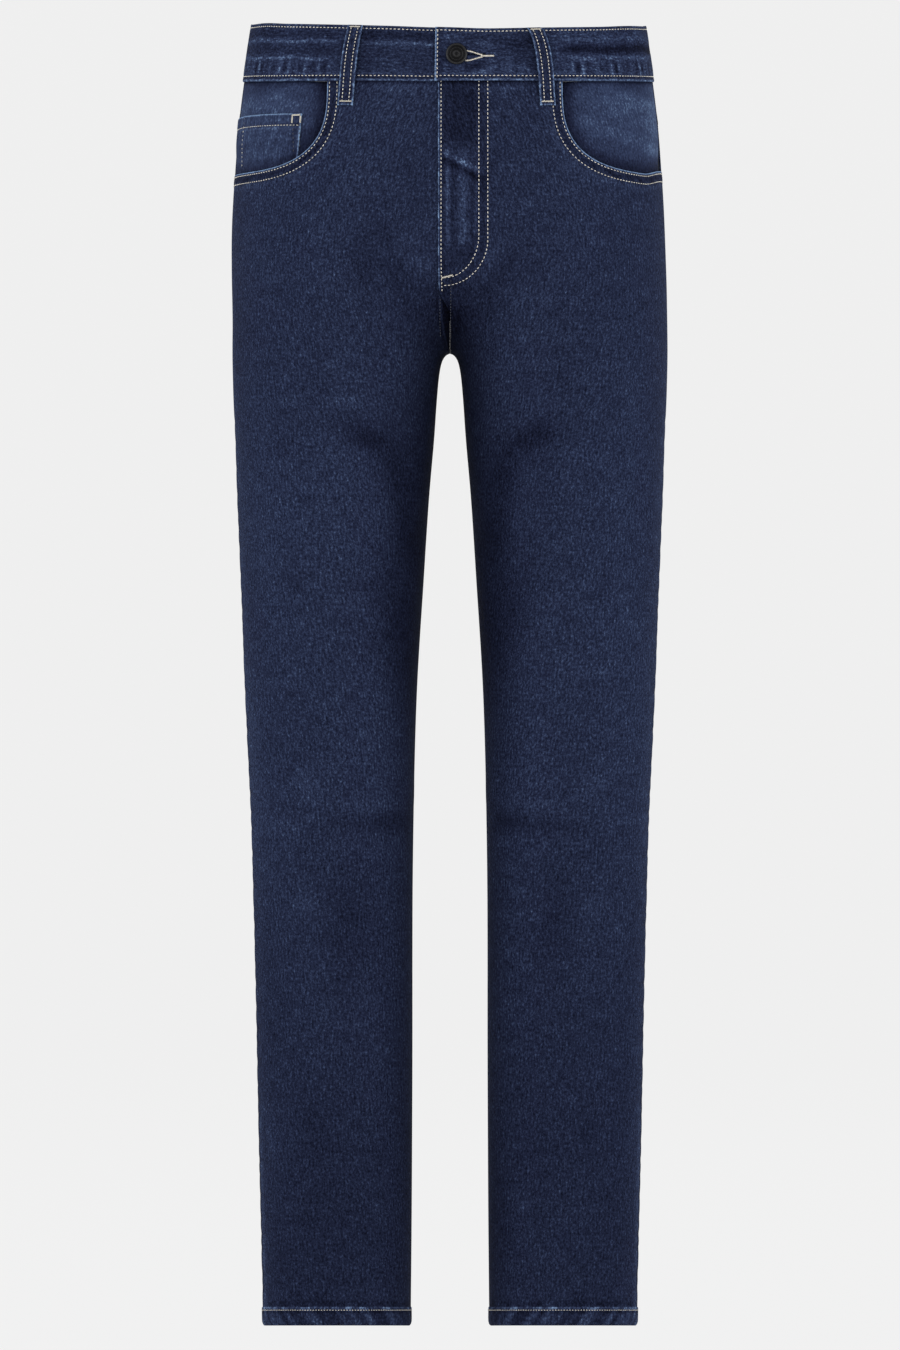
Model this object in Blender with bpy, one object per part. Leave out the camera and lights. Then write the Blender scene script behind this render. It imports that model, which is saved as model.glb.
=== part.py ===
"""Slim five-pocket jeans in the hollow form that they have when worn, with no wearer inside.

Each cut piece is one object: a closed cloth wall between an outer and an inner grid of points.
Tables and sizes are in millimetres, and meshes are made in metres.

Frame: +Z up, -Y to the front, +X to the wearer's left. The origin is the middle of the waist
opening, level with the waistband's top edge at the side seams.

A place on the cloth is (half, f, z): the front or back half of one side's section at height z, and
the share f of that half's length, from 0 at the centre seam or inseam to 1 at the outseam.
"""

import math

import bmesh
import bpy
import numpy as np
from mathutils import Vector

M_PER_MM = 0.001
FRONT, BACK = "front", "back"
LEFT, RIGHT = 1, -1

# Cloth walls and the gaps that keep sewn pieces apart
WALL = 1.4
FACING_WALL = 1.2
PATCH_WALL = 1.3
BAND_WALL = 2.8
BAND_PROUD = 1.2
SEAM_GAP = 0.3
LAP_GAP = 1.1
PATCH_GAP = 0.35
MERGE_WITHIN = 0.2
CUT_EDGE_ANGLE = math.radians(50)

# Heights
CROTCH_Z = -269.0
HEM_Z = -1067.5
HEM_HEIGHT = 15.0
HEM_OUT, HEM_IN = 0.7, 0.5
BAND_HEIGHT = 42.0
WAIST_TILT_FRONT = 0.12
WAIST_TILT_BACK = 0.04
TILT_ENDS_Z = -165.0
# The waistband is this much higher at the side seams than at the centre seams
SIDE_DIP = 4.6
# How far the waistband's top edge stands above its level, at each distance to the wearer's left
RISE_COLUMNS = ("x", "rise")
BAND_RISE = (
    (-163, 0.2),
    (-150, 2.9),
    (-130, 3.3),
    (-90, 3.3),
    (-50, 2.7),
    (0, 1.4),
    (30, 0.4),
    (60, 1.0),
    (120, 1.0),
    (150, 0.7),
    (163, -0.8),
)
# The hem rises towards the front of the leg, by this much for each mm forward of the outseam
HEM_TILT = 0.088
HEM_TILT_ENDS_Z, HEM_TILT_FULL_Z = -960.0, -1044.0
# The hips lean to the wearer's right: by this much at the outseams, and less towards the middle
HIP_LEAN = 1.3
HIP_LEAN_REACH = 170.0
HIP_LEAN_ENDS_Z, HIP_LEAN_FULL_Z = -255.0, -160.0

# The section at each height: half-width to the outseam, front and back depth, the x of the
# front-most and back-most points, and the power of the rounded corners.
FORM_COLUMNS = ("z", "outer", "front", "back", "peak", "power")
FORM = (
    (12, 159.6, -106.0, 109.0, 8.0, 2.20),
    (0, 161.0, -108.0, 112.0, 8.0, 2.20),
    (-20, 164.0, -110.0, 115.5, 12.0, 2.22),
    (-46, 167.6, -113.0, 121.0, 20.0, 2.25),
    (-80, 171.8, -116.5, 129.0, 32.0, 2.27),
    (-120, 175.0, -119.0, 137.5, 46.0, 2.27),
    (-160, 177.4, -120.0, 142.5, 58.0, 2.25),
    (-205, 178.4, -118.5, 141.0, 72.0, 2.22),
    (-243, 178.4, -113.5, 132.0, 84.0, 2.18),
    (-270, 178.5, -109.0, 121.5, 90.5, 2.15),
    (-300, 177.8, -105.5, 113.0, 93.5, 2.12),
    (-341, 175.9, -102.0, 103.0, 94.5, 2.10),
    (-390, 174.3, -99.0, 94.0, 95.5, 2.10),
    (-456, 171.4, -95.0, 83.5, 96.5, 2.10),
    (-521, 168.9, -90.5, 73.5, 97.0, 2.10),
    (-587, 166.0, -84.5, 64.5, 96.8, 2.10),
    (-653, 162.8, -77.5, 60.5, 96.2, 2.10),
    (-718, 161.1, -70.0, 62.0, 96.0, 2.10),
    (-784, 159.5, -63.5, 65.5, 95.2, 2.10),
    (-850, 158.3, -58.0, 68.0, 94.6, 2.10),
    (-915, 157.0, -54.0, 70.0, 94.0, 2.10),
    (-981, 155.4, -51.0, 70.5, 93.3, 2.10),
    (-1075, 153.2, -48.0, 70.0, 92.8, 2.10),
)

# The gap between the legs: drop below the crotch, x of the inseam, and the part of that x which
# is the arch at the gap's top. The arch moves only the cloth by the inseam at first, and more of
# the inner thigh further down. It is read against the square root of the drop, which rounds it.
INSEAM_COLUMNS = ("drop", "inner", "arch")
INSEAM = (
    (0.0, 0.0, 0.0),
    (0.6, 2.0, 1.95),
    (2.5, 4.1, 3.9),
    (5.5, 6.0, 5.6),
    (14.0, 8.2, 7.2),
    (38.0, 10.7, 8.0),
    (71.0, 13.0, 8.2),
    (120.0, 17.2, 8.2),
    (186.0, 21.5, 8.2),
    (284.0, 27.3, 8.2),
    (415.0, 30.3, 8.2),
    (610.0, 30.9, 8.2),
    (730.0, 31.6, 8.2),
    (810.0, 32.4, 8.2),
)
ARCH_TIGHTNESS, ARCH_OPENS = 7.0, 40.0

# The rise: height over which the centre seam curves from under the body up to the front or back
RISE_HEIGHT = {FRONT: 88.0, BACK: 120.0}

# The cloth's largest folds, the same on both sides: half, share and height of the two ends, half
# the width, and height of the ridge, negative for a trough.
FOLD_COLUMNS = ("half", "f0", "z0", "f1", "z1", "spread", "rise")
FOLDS = (
    (FRONT, 0.10, -300, 0.62, -352, 17, -1.9),
    (FRONT, 0.16, -262, 0.66, -306, 16, 1.5),
    (FRONT, 0.04, -400, 0.36, -470, 20, -1.5),
    (FRONT, 0.02, -655, 0.58, -662, 13, -1.8),
    (FRONT, 0.05, -628, 0.50, -632, 14, 1.5),
    (FRONT, 0.10, -700, 0.55, -716, 18, -1.3),
    (FRONT, 0.62, -905, 0.97, -880, 12, -1.4),
    (FRONT, 0.20, -1010, 0.75, -1018, 14, 1.2),
    (BACK, 0.10, -276, 0.80, -300, 15, -2.4),
    (BACK, 0.16, -318, 0.70, -338, 16, 1.8),
    (BACK, 0.05, -612, 0.90, -628, 14, -2.4),
    (BACK, 0.10, -652, 0.85, -640, 13, 2.0),
    (BACK, 0.15, -684, 0.92, -672, 14, -2.0),
    (BACK, 0.20, -985, 0.85, -975, 15, -1.5),
)

# Fly: the left front laps over the right one, which is pressed in beneath it
FLY_EDGE_X = -9.7
FLY_EDGE_ENDS_Z, FLY_EDGE_CENTRED_Z = -222.0, -244.0
FLY_RELIEF_ENDS_Z = -266.0
FLY_LAP = 9.0
FLY_LIFT, FLY_SINK = 0.7, 1.5
FLY_WIDTH_X = 29.8
FLY_CURVE_Z, FLY_BOTTOM_Z = -186.0, -223.0
FLY_STRIP, FLY_FADE = 2.0, 9.0
SINK_FROM, SINK_TO = 38.0, 12.0
FRONT_BLEND_ENDS_Z = -238.0

# Waistband ends at the front: the left end lies over the right one
BAND_END_X = -12.0
UNDERLAP_X = 32.0
BAND_LIFT, BAND_SINK = 1.6, 1.6
LIFT_FLAT, LIFT_ENDS = 34.0, 64.0
BAND_SINK_FROM, BAND_SINK_TO = 52.0, 14.0

# Button and buttonhole
BUTTON_S = 5.2
BUTTON_DROP = 21.2
BUTTON_RADIUS = 8.7
SHANK_RADIUS = 2.0
EYELET_HALF = 2.6
SLOT_HALF = 1.1
SLOT_END_S = 33.0
BUTTON_SIDES = 24
# Radius less the button's own, and height above the waistband, of the head's corners
BUTTON_HEAD = (
    (-1.0, 0.0),
    (0.0, 0.7),
    (0.0, 1.5),
    (-0.8, 2.3),
    (-1.9, 2.4),
    (-2.6, 1.8),
    (-5.0, 1.7),
    (-5.7, 2.2),
    (-7.1, 2.3),
)

# Front pockets: the mouth is a rounded quarter from the waistband to the outseam
MOUTH_TOP_X = {RIGHT: 97.0, LEFT: 89.5}
MOUTH_SIDE_Z = {RIGHT: -122.4, LEFT: -124.0}
MOUTH_POWER = {RIGHT: 2.7, LEFT: 2.82}
MOUTH_TURN_UP = {RIGHT: 0.0, LEFT: 5.0}
MOUTH_TURN_UP_SHARE = 0.2
FACING_UNDER = 18.0
FACING_FILL = 28.0
FACING_SUNK = 0.8
# Distances below the mouth and outwards of its top at which the facing begins to fill out
FACING_FILLS_BELOW, FACING_FILLS_BESIDE = 2.0, 3.0
COIN_TOP_Z = -77.5
COIN_TILT = 2.4
COIN_EDGE_X = 118.5
COIN_GAP = 0.6
COIN_BEYOND = 9.0

# Yoke seam and back pockets
YOKE_CENTRE_Z, YOKE_SIDE_Z = -116.0, -84.0
YOKE_TILT_ENDS_Z = -190.0
POCKET_FROM_OUTSEAM = 50.0
POCKET_TOP_WIDTH, POCKET_LOW_WIDTH = 148.0, 126.0
POCKET_TOP_Z = -131.0
POCKET_TOP_TILT = 7.0
POCKET_SIDE, POCKET_TIP = 126.0, 154.0

# Belt loops: drop below the top edge, and stand-off of the loop's inner face from the form
LOOP_WIDTH = 12.5
LOOP_WALL = 1.6
LOOP_COLUMNS = ("drop", "stand_off")
LOOP_PROFILE = (
    (0.4, 1.7),
    (5.0, 2.2),
    (13.0, 3.9),
    (23.0, 4.8),
    (34.0, 4.5),
    (44.0, 3.2),
    (53.0, 1.4),
    (62.5, 0.6),
)
LOOP_STEPS = 14
# Each loop: side, half, its distance from the centre seam at its top and at its foot, and how
# early it turns from the one to the other: 1 is straight, less is earlier
LOOPS = {
    "belt_loop_front_right": (RIGHT, FRONT, 75.2, 83.0, 0.9),
    "belt_loop_front_left": (LEFT, FRONT, 66.0, 78.0, 0.45),
    "belt_loop_side_right": (RIGHT, BACK, 152.0, 158.0, 0.8),
    "belt_loop_side_left": (LEFT, BACK, 152.0, 158.0, 0.8),
    "belt_loop_back": (LEFT, BACK, 0.0, 0.0, 1.0),
}

# Grids
ARC_POINTS = 40
BACK_COLUMNS = 12
LEG_COLUMNS = 12
FACING_COLUMNS, FACING_ROWS = 8, 6
CENTRE_COLUMNS, OUTER_COLUMNS = 3, 6
YOKE_ROWS = 3
HIP_CROWD = 0.25
INNER_SPREAD_ENDS = 220.0
EVEN_FROM_Z, EVEN_TO_Z = -218.5, -336.5
MOUTH_CROWD = (0.0, 1.2, 5.5, 14.0)
TOP_ROWS = (0.0, 0.2, 0.45, 0.72)
BELOW_YOKE = (0.0, 14.0, 28.0)
TORSO_ROWS = (-142, -165, -185, -203, -218, -232, -246, -257, -264.5, -267.8, CROTCH_Z)
LEG_DROPS = (0.7, 2.8, 7, 15, 28, 46, 68, 96, 130, 170, 215, 262, 308, 342, 364)
SHIN_DROPS = (384, 402, 424, 462, 520, 580, 640, 700, 750)
HEM_STEPS = (0.5, -0.3)
# Distances of the waistband's columns from the centre front, on the left and then on the right,
# which end short of the outseam, and the number of columns from an outseam to the centre back
BAND_LEFT = (-6, BUTTON_S - EYELET_HALF, BUTTON_S + EYELET_HALF, 16, 24, SLOT_END_S, 46, 62, 80)
BAND_RIGHT = (80, 64, 50, 38, 26, 14, 2, -10, -21)
BAND_SIDES = (100, 122, 146, 170)
BAND_BACK_COLUMNS = 9
BAND_UPPER_ROW, BAND_LOWER_ROW = 9.5, 32.0

# Colours, linear, and how dull they are
INDIGO = (0.017, 0.024, 0.060)
FADED_INDIGO = (0.034, 0.048, 0.092)
DARK_METAL = (0.022, 0.022, 0.024)
CLOTH_ROUGHNESS, METAL_ROUGHNESS = 0.92, 0.38
METALLIC = 0.9


def table(columns, rows):
    """The rows as one array for each column name."""
    return {name: np.array([row[i] for row in rows]) for i, name in enumerate(columns)}


def smooth_read(xs, ys, x):
    """A smooth curve through the table's points, read at x."""
    order = np.argsort(xs)
    xs, ys = np.asarray(xs, float)[order], np.asarray(ys, float)[order]
    slopes = np.gradient(ys, xs)
    x = np.clip(x, xs[0], xs[-1])
    i = np.clip(np.searchsorted(xs, x) - 1, 0, len(xs) - 2)
    step = xs[i + 1] - xs[i]
    t = (x - xs[i]) / step
    return (
        ys[i] * (1 + 2 * t) * (1 - t) ** 2
        + slopes[i] * step * t * (1 - t) ** 2
        + ys[i + 1] * t * t * (3 - 2 * t)
        + slopes[i + 1] * step * t * t * (t - 1)
    )


def step_between(x, start, end):
    """0 at start, 1 at end, and an even S between them, whichever is larger."""
    t = np.clip((np.asarray(x, float) - start) / (end - start), 0.0, 1.0)
    return t * t * (3 - 2 * t)


FORM_TABLE = table(FORM_COLUMNS, FORM)
INSEAM_TABLE = table(INSEAM_COLUMNS, INSEAM)
LOOP_TABLE = table(LOOP_COLUMNS, LOOP_PROFILE)
RISE_TABLE = table(RISE_COLUMNS, BAND_RISE)


def form(name, z):
    return smooth_read(FORM_TABLE["z"], FORM_TABLE[name], z)


def inseam(name, drop):
    return smooth_read(np.sqrt(INSEAM_TABLE["drop"]), INSEAM_TABLE[name], np.sqrt(drop))


def half_curve(half, z):
    """Section of one half at each height: x and y of its points, and the length up to each."""
    z = np.atleast_1d(np.asarray(z, float))[:, None]
    outer, peak, power = form("outer", z), form("peak", z), form("power", z)
    middle = (form("front", z) + form("back", z)) / 2
    depth = form(half, z) - middle
    risen = np.clip((z - CROTCH_Z) / RISE_HEIGHT[half], 0.0, 1.0)
    share = np.clip(np.sqrt(1 - (1 - risen) ** 2), 0.0, 1 - 1e-9)
    reach = np.maximum((1 - share**power) ** (1 / power), 1e-3)
    below = np.maximum(CROTCH_Z - z, 0.0)
    arch = inseam("arch", below)
    tightness = 1 + ARCH_TIGHTNESS * np.exp(-below / ARCH_OPENS)
    inner_axis = np.where(z > CROTCH_Z, peak / reach, peak - inseam("inner", below) + arch)
    start = np.where(z > CROTCH_Z, np.arccos(reach ** (power / 2)), 0.0)
    along = np.linspace(0.0, 1.0, ARC_POINTS)[None, :]
    t_in = start + (math.pi / 2 - start) * along
    t_out = math.pi / 2 * (1 - along[:, 1:])
    inwards = np.cos(t_in).clip(0) ** (2 / power)
    inner_x = peak - inner_axis * inwards + arch * inwards**tightness
    outer_x = peak + (outer - peak) * np.cos(t_out).clip(0) ** (2 / power)
    inner_y = middle + depth * np.sin(t_in).clip(0) ** (2 / power)
    outer_y = middle + depth * np.sin(t_out).clip(0) ** (2 / power)
    x = np.concatenate([inner_x, outer_x], axis=1)
    y = np.concatenate([inner_y, outer_y], axis=1)
    steps = np.hypot(np.diff(x, axis=1), np.diff(y, axis=1))
    length = np.concatenate([np.zeros((len(x), 1)), np.cumsum(steps, axis=1)], axis=1)
    return x, y, length


def read_rows(keys, values, wanted):
    """For each row, values read at wanted along that row's rising keys."""
    i = np.clip((keys < wanted[:, None]).sum(axis=1), 1, keys.shape[1] - 1)
    row = np.arange(len(wanted))
    low, high = keys[row, i - 1], keys[row, i]
    t = np.clip((wanted - low) / np.maximum(high - low, 1e-12), 0.0, 1.0)
    return values[row, i - 1] * (1 - t) + values[row, i] * t


def half_length(half, z):
    return half_curve(half, z)[2][:, -1]


def share_at_x(half, x, z):
    """The share f of the point that lies at x, for heights above the crotch."""
    xs, _, length = half_curve(half, z)
    x = np.broadcast_to(np.asarray(x, float), (len(xs),))
    return read_rows(xs, length, x) / length[:, -1]


def form_point(half, f, z):
    """Points of the smooth form, on the left side. A negative f runs on past the centre line."""
    x, y, length = half_curve(half, z)
    wanted = np.abs(f) * length[:, -1]
    px = read_rows(length, x, wanted)
    return np.stack([np.where(f < 0, -px, px), read_rows(length, y, wanted), z], axis=1)


def form_x(half, f, z):
    """The x of points of the smooth form, as a grid."""
    return form_point(half, np.ravel(f), np.ravel(z))[:, 0].reshape(np.shape(f))


def fold_rise(half, f, z):
    """How far the folds move the cloth out of the smooth form."""
    total = np.zeros(len(z))
    from_outseam = (1 - f) * half_length(half, z)
    for fold_half, f0, z0, f1, z1, spread, rise in FOLDS:
        if fold_half != half:
            continue
        d0 = (1 - f0) * half_length(half, z0)[0]
        d1 = (1 - f1) * half_length(half, z1)[0]
        run = np.array([d1 - d0, z1 - z0])
        gone = np.stack([from_outseam - d0, z - z0], axis=1)
        t = np.clip(gone @ run / (run @ run), 0.0, 1.0)
        off = gone - run * t[:, None]
        away = np.hypot(off[:, 0], off[:, 1]) / spread
        taper = np.sin(math.pi * (t * 0.86 + 0.07))
        total += rise * taper * np.exp(-(away**2) * 1.4)
    return total


def outward(half, f, z):
    """Unit normals of the form. The way up is taken at one distance from the outseam, or past the
    centre line at one distance from that, because the shares shift where the crotch opens."""
    above = z >= CROTCH_Z
    near_f, near_z = 0.004, 0.4
    f_low = np.where(above, f - near_f, np.maximum(f - near_f, 0.0))
    across = form_point(half, np.minimum(f + near_f, 1.0), z) - form_point(half, f_low, z)
    z_low = np.where(above, np.maximum(z - near_z, CROTCH_Z), z - near_z)
    z_high = np.where(above, z + near_z, np.minimum(z + near_z, CROTCH_Z - 0.01))
    length = half_length(half, z)
    ends = []
    for level in (z_high, z_low):
        here = half_length(half, level)
        from_outseam = np.maximum(1 - (1 - f) * length / here, 0.0)
        ends.append(form_point(half, np.where(f < 0, f * length / here, from_outseam), level))
    normal = np.cross(across, ends[0] - ends[1])
    if half == BACK:
        normal = -normal
    return normal / np.linalg.norm(normal, axis=1)[:, None]


def hip_lean(points):
    """How far the hips lean sideways at the points."""
    over = step_between(points[:, 2], HIP_LEAN_ENDS_Z, HIP_LEAN_FULL_Z)
    return -HIP_LEAN * over * (points[:, 0] / HIP_LEAN_REACH) ** 2


def cloth_points(side, half, f, z, offset):
    """Points at an offset from the folded form. All arguments but side and half are grids."""
    shape = np.shape(f)
    f, z = np.ravel(f).astype(float), np.ravel(np.broadcast_to(z, shape)).astype(float)
    offset = np.ravel(np.broadcast_to(offset, shape))
    rise = fold_rise(half, f, z) + offset
    points = form_point(half, f, z) + outward(half, f, z) * rise[:, None]
    points[:, 0] *= side
    points[:, 0] += hip_lean(points)
    return points.reshape(*shape, 3)


def waist_z(half, f):
    """Height of the waistband's top edge: level from side to side, lower at the front."""
    f = np.asarray(f, float)
    here = form_point(half, f.ravel(), np.zeros(f.size))[:, 1].reshape(f.shape)
    middle = (form("front", 0.0) + form("back", 0.0)) / 2
    tilt = WAIST_TILT_FRONT if half == FRONT else WAIST_TILT_BACK
    return tilt * (here - middle)


def band_dip(half, f):
    """How much higher the waistband is here than at the centre seam."""
    return SIDE_DIP * (1 - waist_z(half, f) / waist_z(half, 0.0))


def band_rise(side, half, f):
    """How far the waistband's top edge stands above its level here."""
    x = side * form_x(half, f, np.zeros(np.shape(f)))
    places, rises = RISE_TABLE["x"], RISE_TABLE["rise"]
    if half == BACK:
        return np.interp(x, places[[0, -1]], rises[[0, -1]])
    return smooth_read(places, rises, x)


def band_z(side, half, f, drop):
    """Height of the waistband's cloth at a drop below its top edge."""
    rise = band_rise(side, half, f)
    return waist_z(half, f) + rise - drop * (1 + (band_dip(half, f) + rise) / BAND_HEIGHT)


def with_waist_tilt(half, f, level):
    """Real height of a level that follows the waistband near the top and is flat lower down."""
    tilt = waist_z(half, f) - band_dip(half, f)
    return level + tilt * (1 - step_between(level, -BAND_HEIGHT, TILT_ENDS_Z))


def with_hem_tilt(f, z):
    """Real height of the front's levels: the hem rises towards the front of the leg."""
    here = form_point(FRONT, f.ravel(), np.full(f.size, HEM_Z))[:, 1].reshape(f.shape)
    outseam = (form("front", HEM_Z) + form("back", HEM_Z)) / 2
    return z + HEM_TILT * (outseam - here) * step_between(z, HEM_TILT_ENDS_Z, HEM_TILT_FULL_Z)


def fly_edge_x(z):
    return FLY_EDGE_X * (1 - step_between(z, FLY_EDGE_ENDS_Z, FLY_EDGE_CENTRED_Z))


def fly_lift(s, z):
    """How far the left front stands out over the fly, inside its J-shaped outline."""
    down = np.clip((FLY_CURVE_Z - z) / (FLY_CURVE_Z - FLY_BOTTOM_Z), 0.0, 1.0)
    outline = FLY_EDGE_X + (FLY_WIDTH_X - FLY_EDGE_X) * np.sqrt(1 - down**2)
    inside = 1 - step_between(s, outline - FLY_FADE / 2, outline + FLY_FADE)
    strip = 1 - step_between(s, FLY_STRIP, FLY_STRIP + FLY_FADE)
    ends = 1 - step_between(z, FLY_EDGE_CENTRED_Z, FLY_RELIEF_ENDS_Z)
    return FLY_LIFT * np.maximum(inside, strip) * ends


def fly_sink(s, z):
    """How far the right front is pressed in beside the centre line."""
    ends = 1 - step_between(z, FLY_EDGE_CENTRED_Z, FLY_RELIEF_ENDS_Z)
    return FLY_SINK * step_between(s, SINK_FROM, SINK_TO) * ends


def hem_relief(z):
    """1 on the turned-up hem, 0 above it."""
    return (z < HEM_Z + HEM_HEIGHT).astype(float)


def mesh_object(name, points, triangles, material):
    """A closed mesh in metres, its faces turned outwards."""
    points, triangles = np.asarray(points, float) * M_PER_MM, np.asarray(triangles)
    a, b, c = (points[triangles[:, i]] for i in range(3))
    if np.einsum("ij,ij->i", a, np.cross(b, c)).sum() < 0:
        triangles = triangles[:, ::-1]
    mesh = bpy.data.meshes.new(name)
    mesh.from_pydata(points.tolist(), [], triangles.tolist())
    return placed(name, mesh, material)


def placed(name, mesh, material):
    """An object of the mesh, smooth but for its cut edges."""
    mesh.materials.append(material)
    mesh.shade_smooth()
    mesh.set_sharp_from_angle(angle=CUT_EDGE_ANGLE)
    made = bpy.data.objects.new(name, mesh)
    bpy.context.scene.collection.objects.link(made)
    return made


def wall(name, outer, inner, material, holes=()):
    """A cloth wall between two grids of rows and columns, less the cells listed in holes."""
    rows, columns = outer.shape[:2]
    index = np.arange(rows * columns).reshape(rows, columns)
    under = index + rows * columns
    cells = {(r, c) for r in range(rows - 1) for c in range(columns - 1)} - set(holes)
    used, triangles = set(), []

    def face(a, b, c, d, split):
        used.update((a, b, c, d))
        triangles.extend([(a, b, c), (a, c, d)] if split else [(b, c, d), (b, d, a)])

    for r, c in cells:
        corners = outer[[r, r, r + 1, r + 1], [c, c + 1, c + 1, c]]
        first = np.linalg.norm(corners[0] - corners[2])
        split = bool(first <= np.linalg.norm(corners[1] - corners[3]))
        a, b, d, e = index[r, c], index[r, c + 1], index[r + 1, c + 1], index[r + 1, c]
        face(a, b, d, e, split)
        a, b, d, e = under[r, c], under[r, c + 1], under[r + 1, c + 1], under[r + 1, c]
        # The same diagonal as above, wound the other way
        face(b, a, e, d, not split)
        edges = (
            ((r - 1, c), (r, c), (r, c + 1)),
            ((r + 1, c), (r + 1, c + 1), (r + 1, c)),
            ((r, c - 1), (r + 1, c), (r, c)),
            ((r, c + 1), (r, c + 1), (r + 1, c + 1)),
        )
        for neighbour, start, end in edges:
            if neighbour not in cells:
                face(index[end], index[start], under[start], under[end], True)

    points = np.concatenate([outer.reshape(-1, 3), inner.reshape(-1, 3)])
    keep = sorted(used)
    renumber = {old: new for new, old in enumerate(keep)}
    triangles = [[renumber[i] for i in t] for t in triangles]
    return mesh_object(name, points[keep], triangles, material)


def plain(name, colour, roughness):
    made = bpy.data.materials.new(name)
    made.use_nodes = True
    shader = made.node_tree.nodes["Principled BSDF"]
    shader.inputs["Base Color"].default_value = (*colour, 1.0)
    shader.inputs["Roughness"].default_value = roughness
    return made


def gunmetal(name):
    made = plain(name, DARK_METAL, METAL_ROUGHNESS)
    made.node_tree.nodes["Principled BSDF"].inputs["Metallic"].default_value = METALLIC
    return made


def mouth_drop(side, x):
    """Level of the pocket mouth at x."""
    side_x = form("outer", MOUTH_SIDE_Z[side])
    top, foot = -BAND_HEIGHT - SEAM_GAP, MOUTH_SIDE_Z[side]
    share = np.clip((side_x - x) / (side_x - MOUTH_TOP_X[side]), 0.0, 1.0)
    power = MOUTH_POWER[side]
    up = MOUTH_TURN_UP[side] * (1 - step_between(share, 0.0, MOUTH_TURN_UP_SHARE))
    return top + (foot - top) * (1 - share**power) ** (1 / power) + up


def mouth_z(side, f):
    """Level of the pocket mouth at shares of the front."""
    z = np.full(len(f), -100.0)
    for _ in range(4):
        z = mouth_drop(side, form_x(FRONT, f, z))
    return z


def seam_share(half, z):
    """Half a seam gap, as a share of the half's length."""
    return SEAM_GAP / 2 / half_length(half, z)


def leg_levels():
    """Heights of a panel's rows below the crotch."""
    drops = [*LEG_DROPS, *SHIN_DROPS]
    hem_top = HEM_Z + HEM_HEIGHT
    return [CROTCH_Z - d for d in drops] + [hem_top + step for step in HEM_STEPS] + [HEM_Z]


def spaced_rows(half, levels, start, columns):
    """Shares and heights of rows that begin start mm from the centre seam or inseam.

    Columns lie closer together at the outseam over the hips, and evenly on the leg. Where the
    section opens out to take in the inner thigh, most of the added length goes to the inner
    columns. Rows crowd together at the crotch, but only by the seam.
    """
    hip_length = half_length(half, CROTCH_Z + RISE_HEIGHT[half])
    length = half_length(half, levels)
    kept = np.minimum(hip_length / length, 1.0)
    kept_below = hip_length / half_length(half, CROTCH_Z)
    settled = step_between(levels, CROTCH_Z, CROTCH_Z - INNER_SPREAD_ENDS)
    kept = np.where(levels < CROTCH_Z, kept_below + (1 - kept_below) * settled, kept)
    crowd = 1 + HIP_CROWD * step_between(levels, CROTCH_Z, CROTCH_Z + RISE_HEIGHT[half])
    back = 1 - np.linspace(0.0, 1.0, columns + 1)[None, :]
    spread = kept[:, None] * back ** crowd[:, None] + (1 - kept[:, None]) * back**2
    reach = (length - start - SEAM_GAP / 2)[:, None]
    from_outseam = SEAM_GAP / 2 + reach * spread
    inwards = step_between(back, 0.45, 1.0)
    even = even_levels(levels)[:, None]
    z = even + (levels[:, None] - even) * inwards
    return 1 - from_outseam / half_length(half, z.ravel()).reshape(z.shape), z


def even_levels(levels):
    """Heights of the rows away from the crotch, where they are evenly spaced."""
    inside = (levels < EVEN_FROM_Z) & (levels > EVEN_TO_Z)
    count = inside.sum()
    even = levels.copy()
    even[inside] = EVEN_FROM_Z + (EVEN_TO_Z - EVEN_FROM_Z) * np.arange(1, count + 1) / (count + 1)
    return even


def clear_of_centre(points, side, limit_x):
    """Keeps a panel on its own side of the seam line, half a seam gap away from it."""
    own = points[..., 0] * side
    points[..., 0] = side * np.maximum(own, np.asarray(limit_x)[:, None] + SEAM_GAP / 2)
    return points


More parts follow.
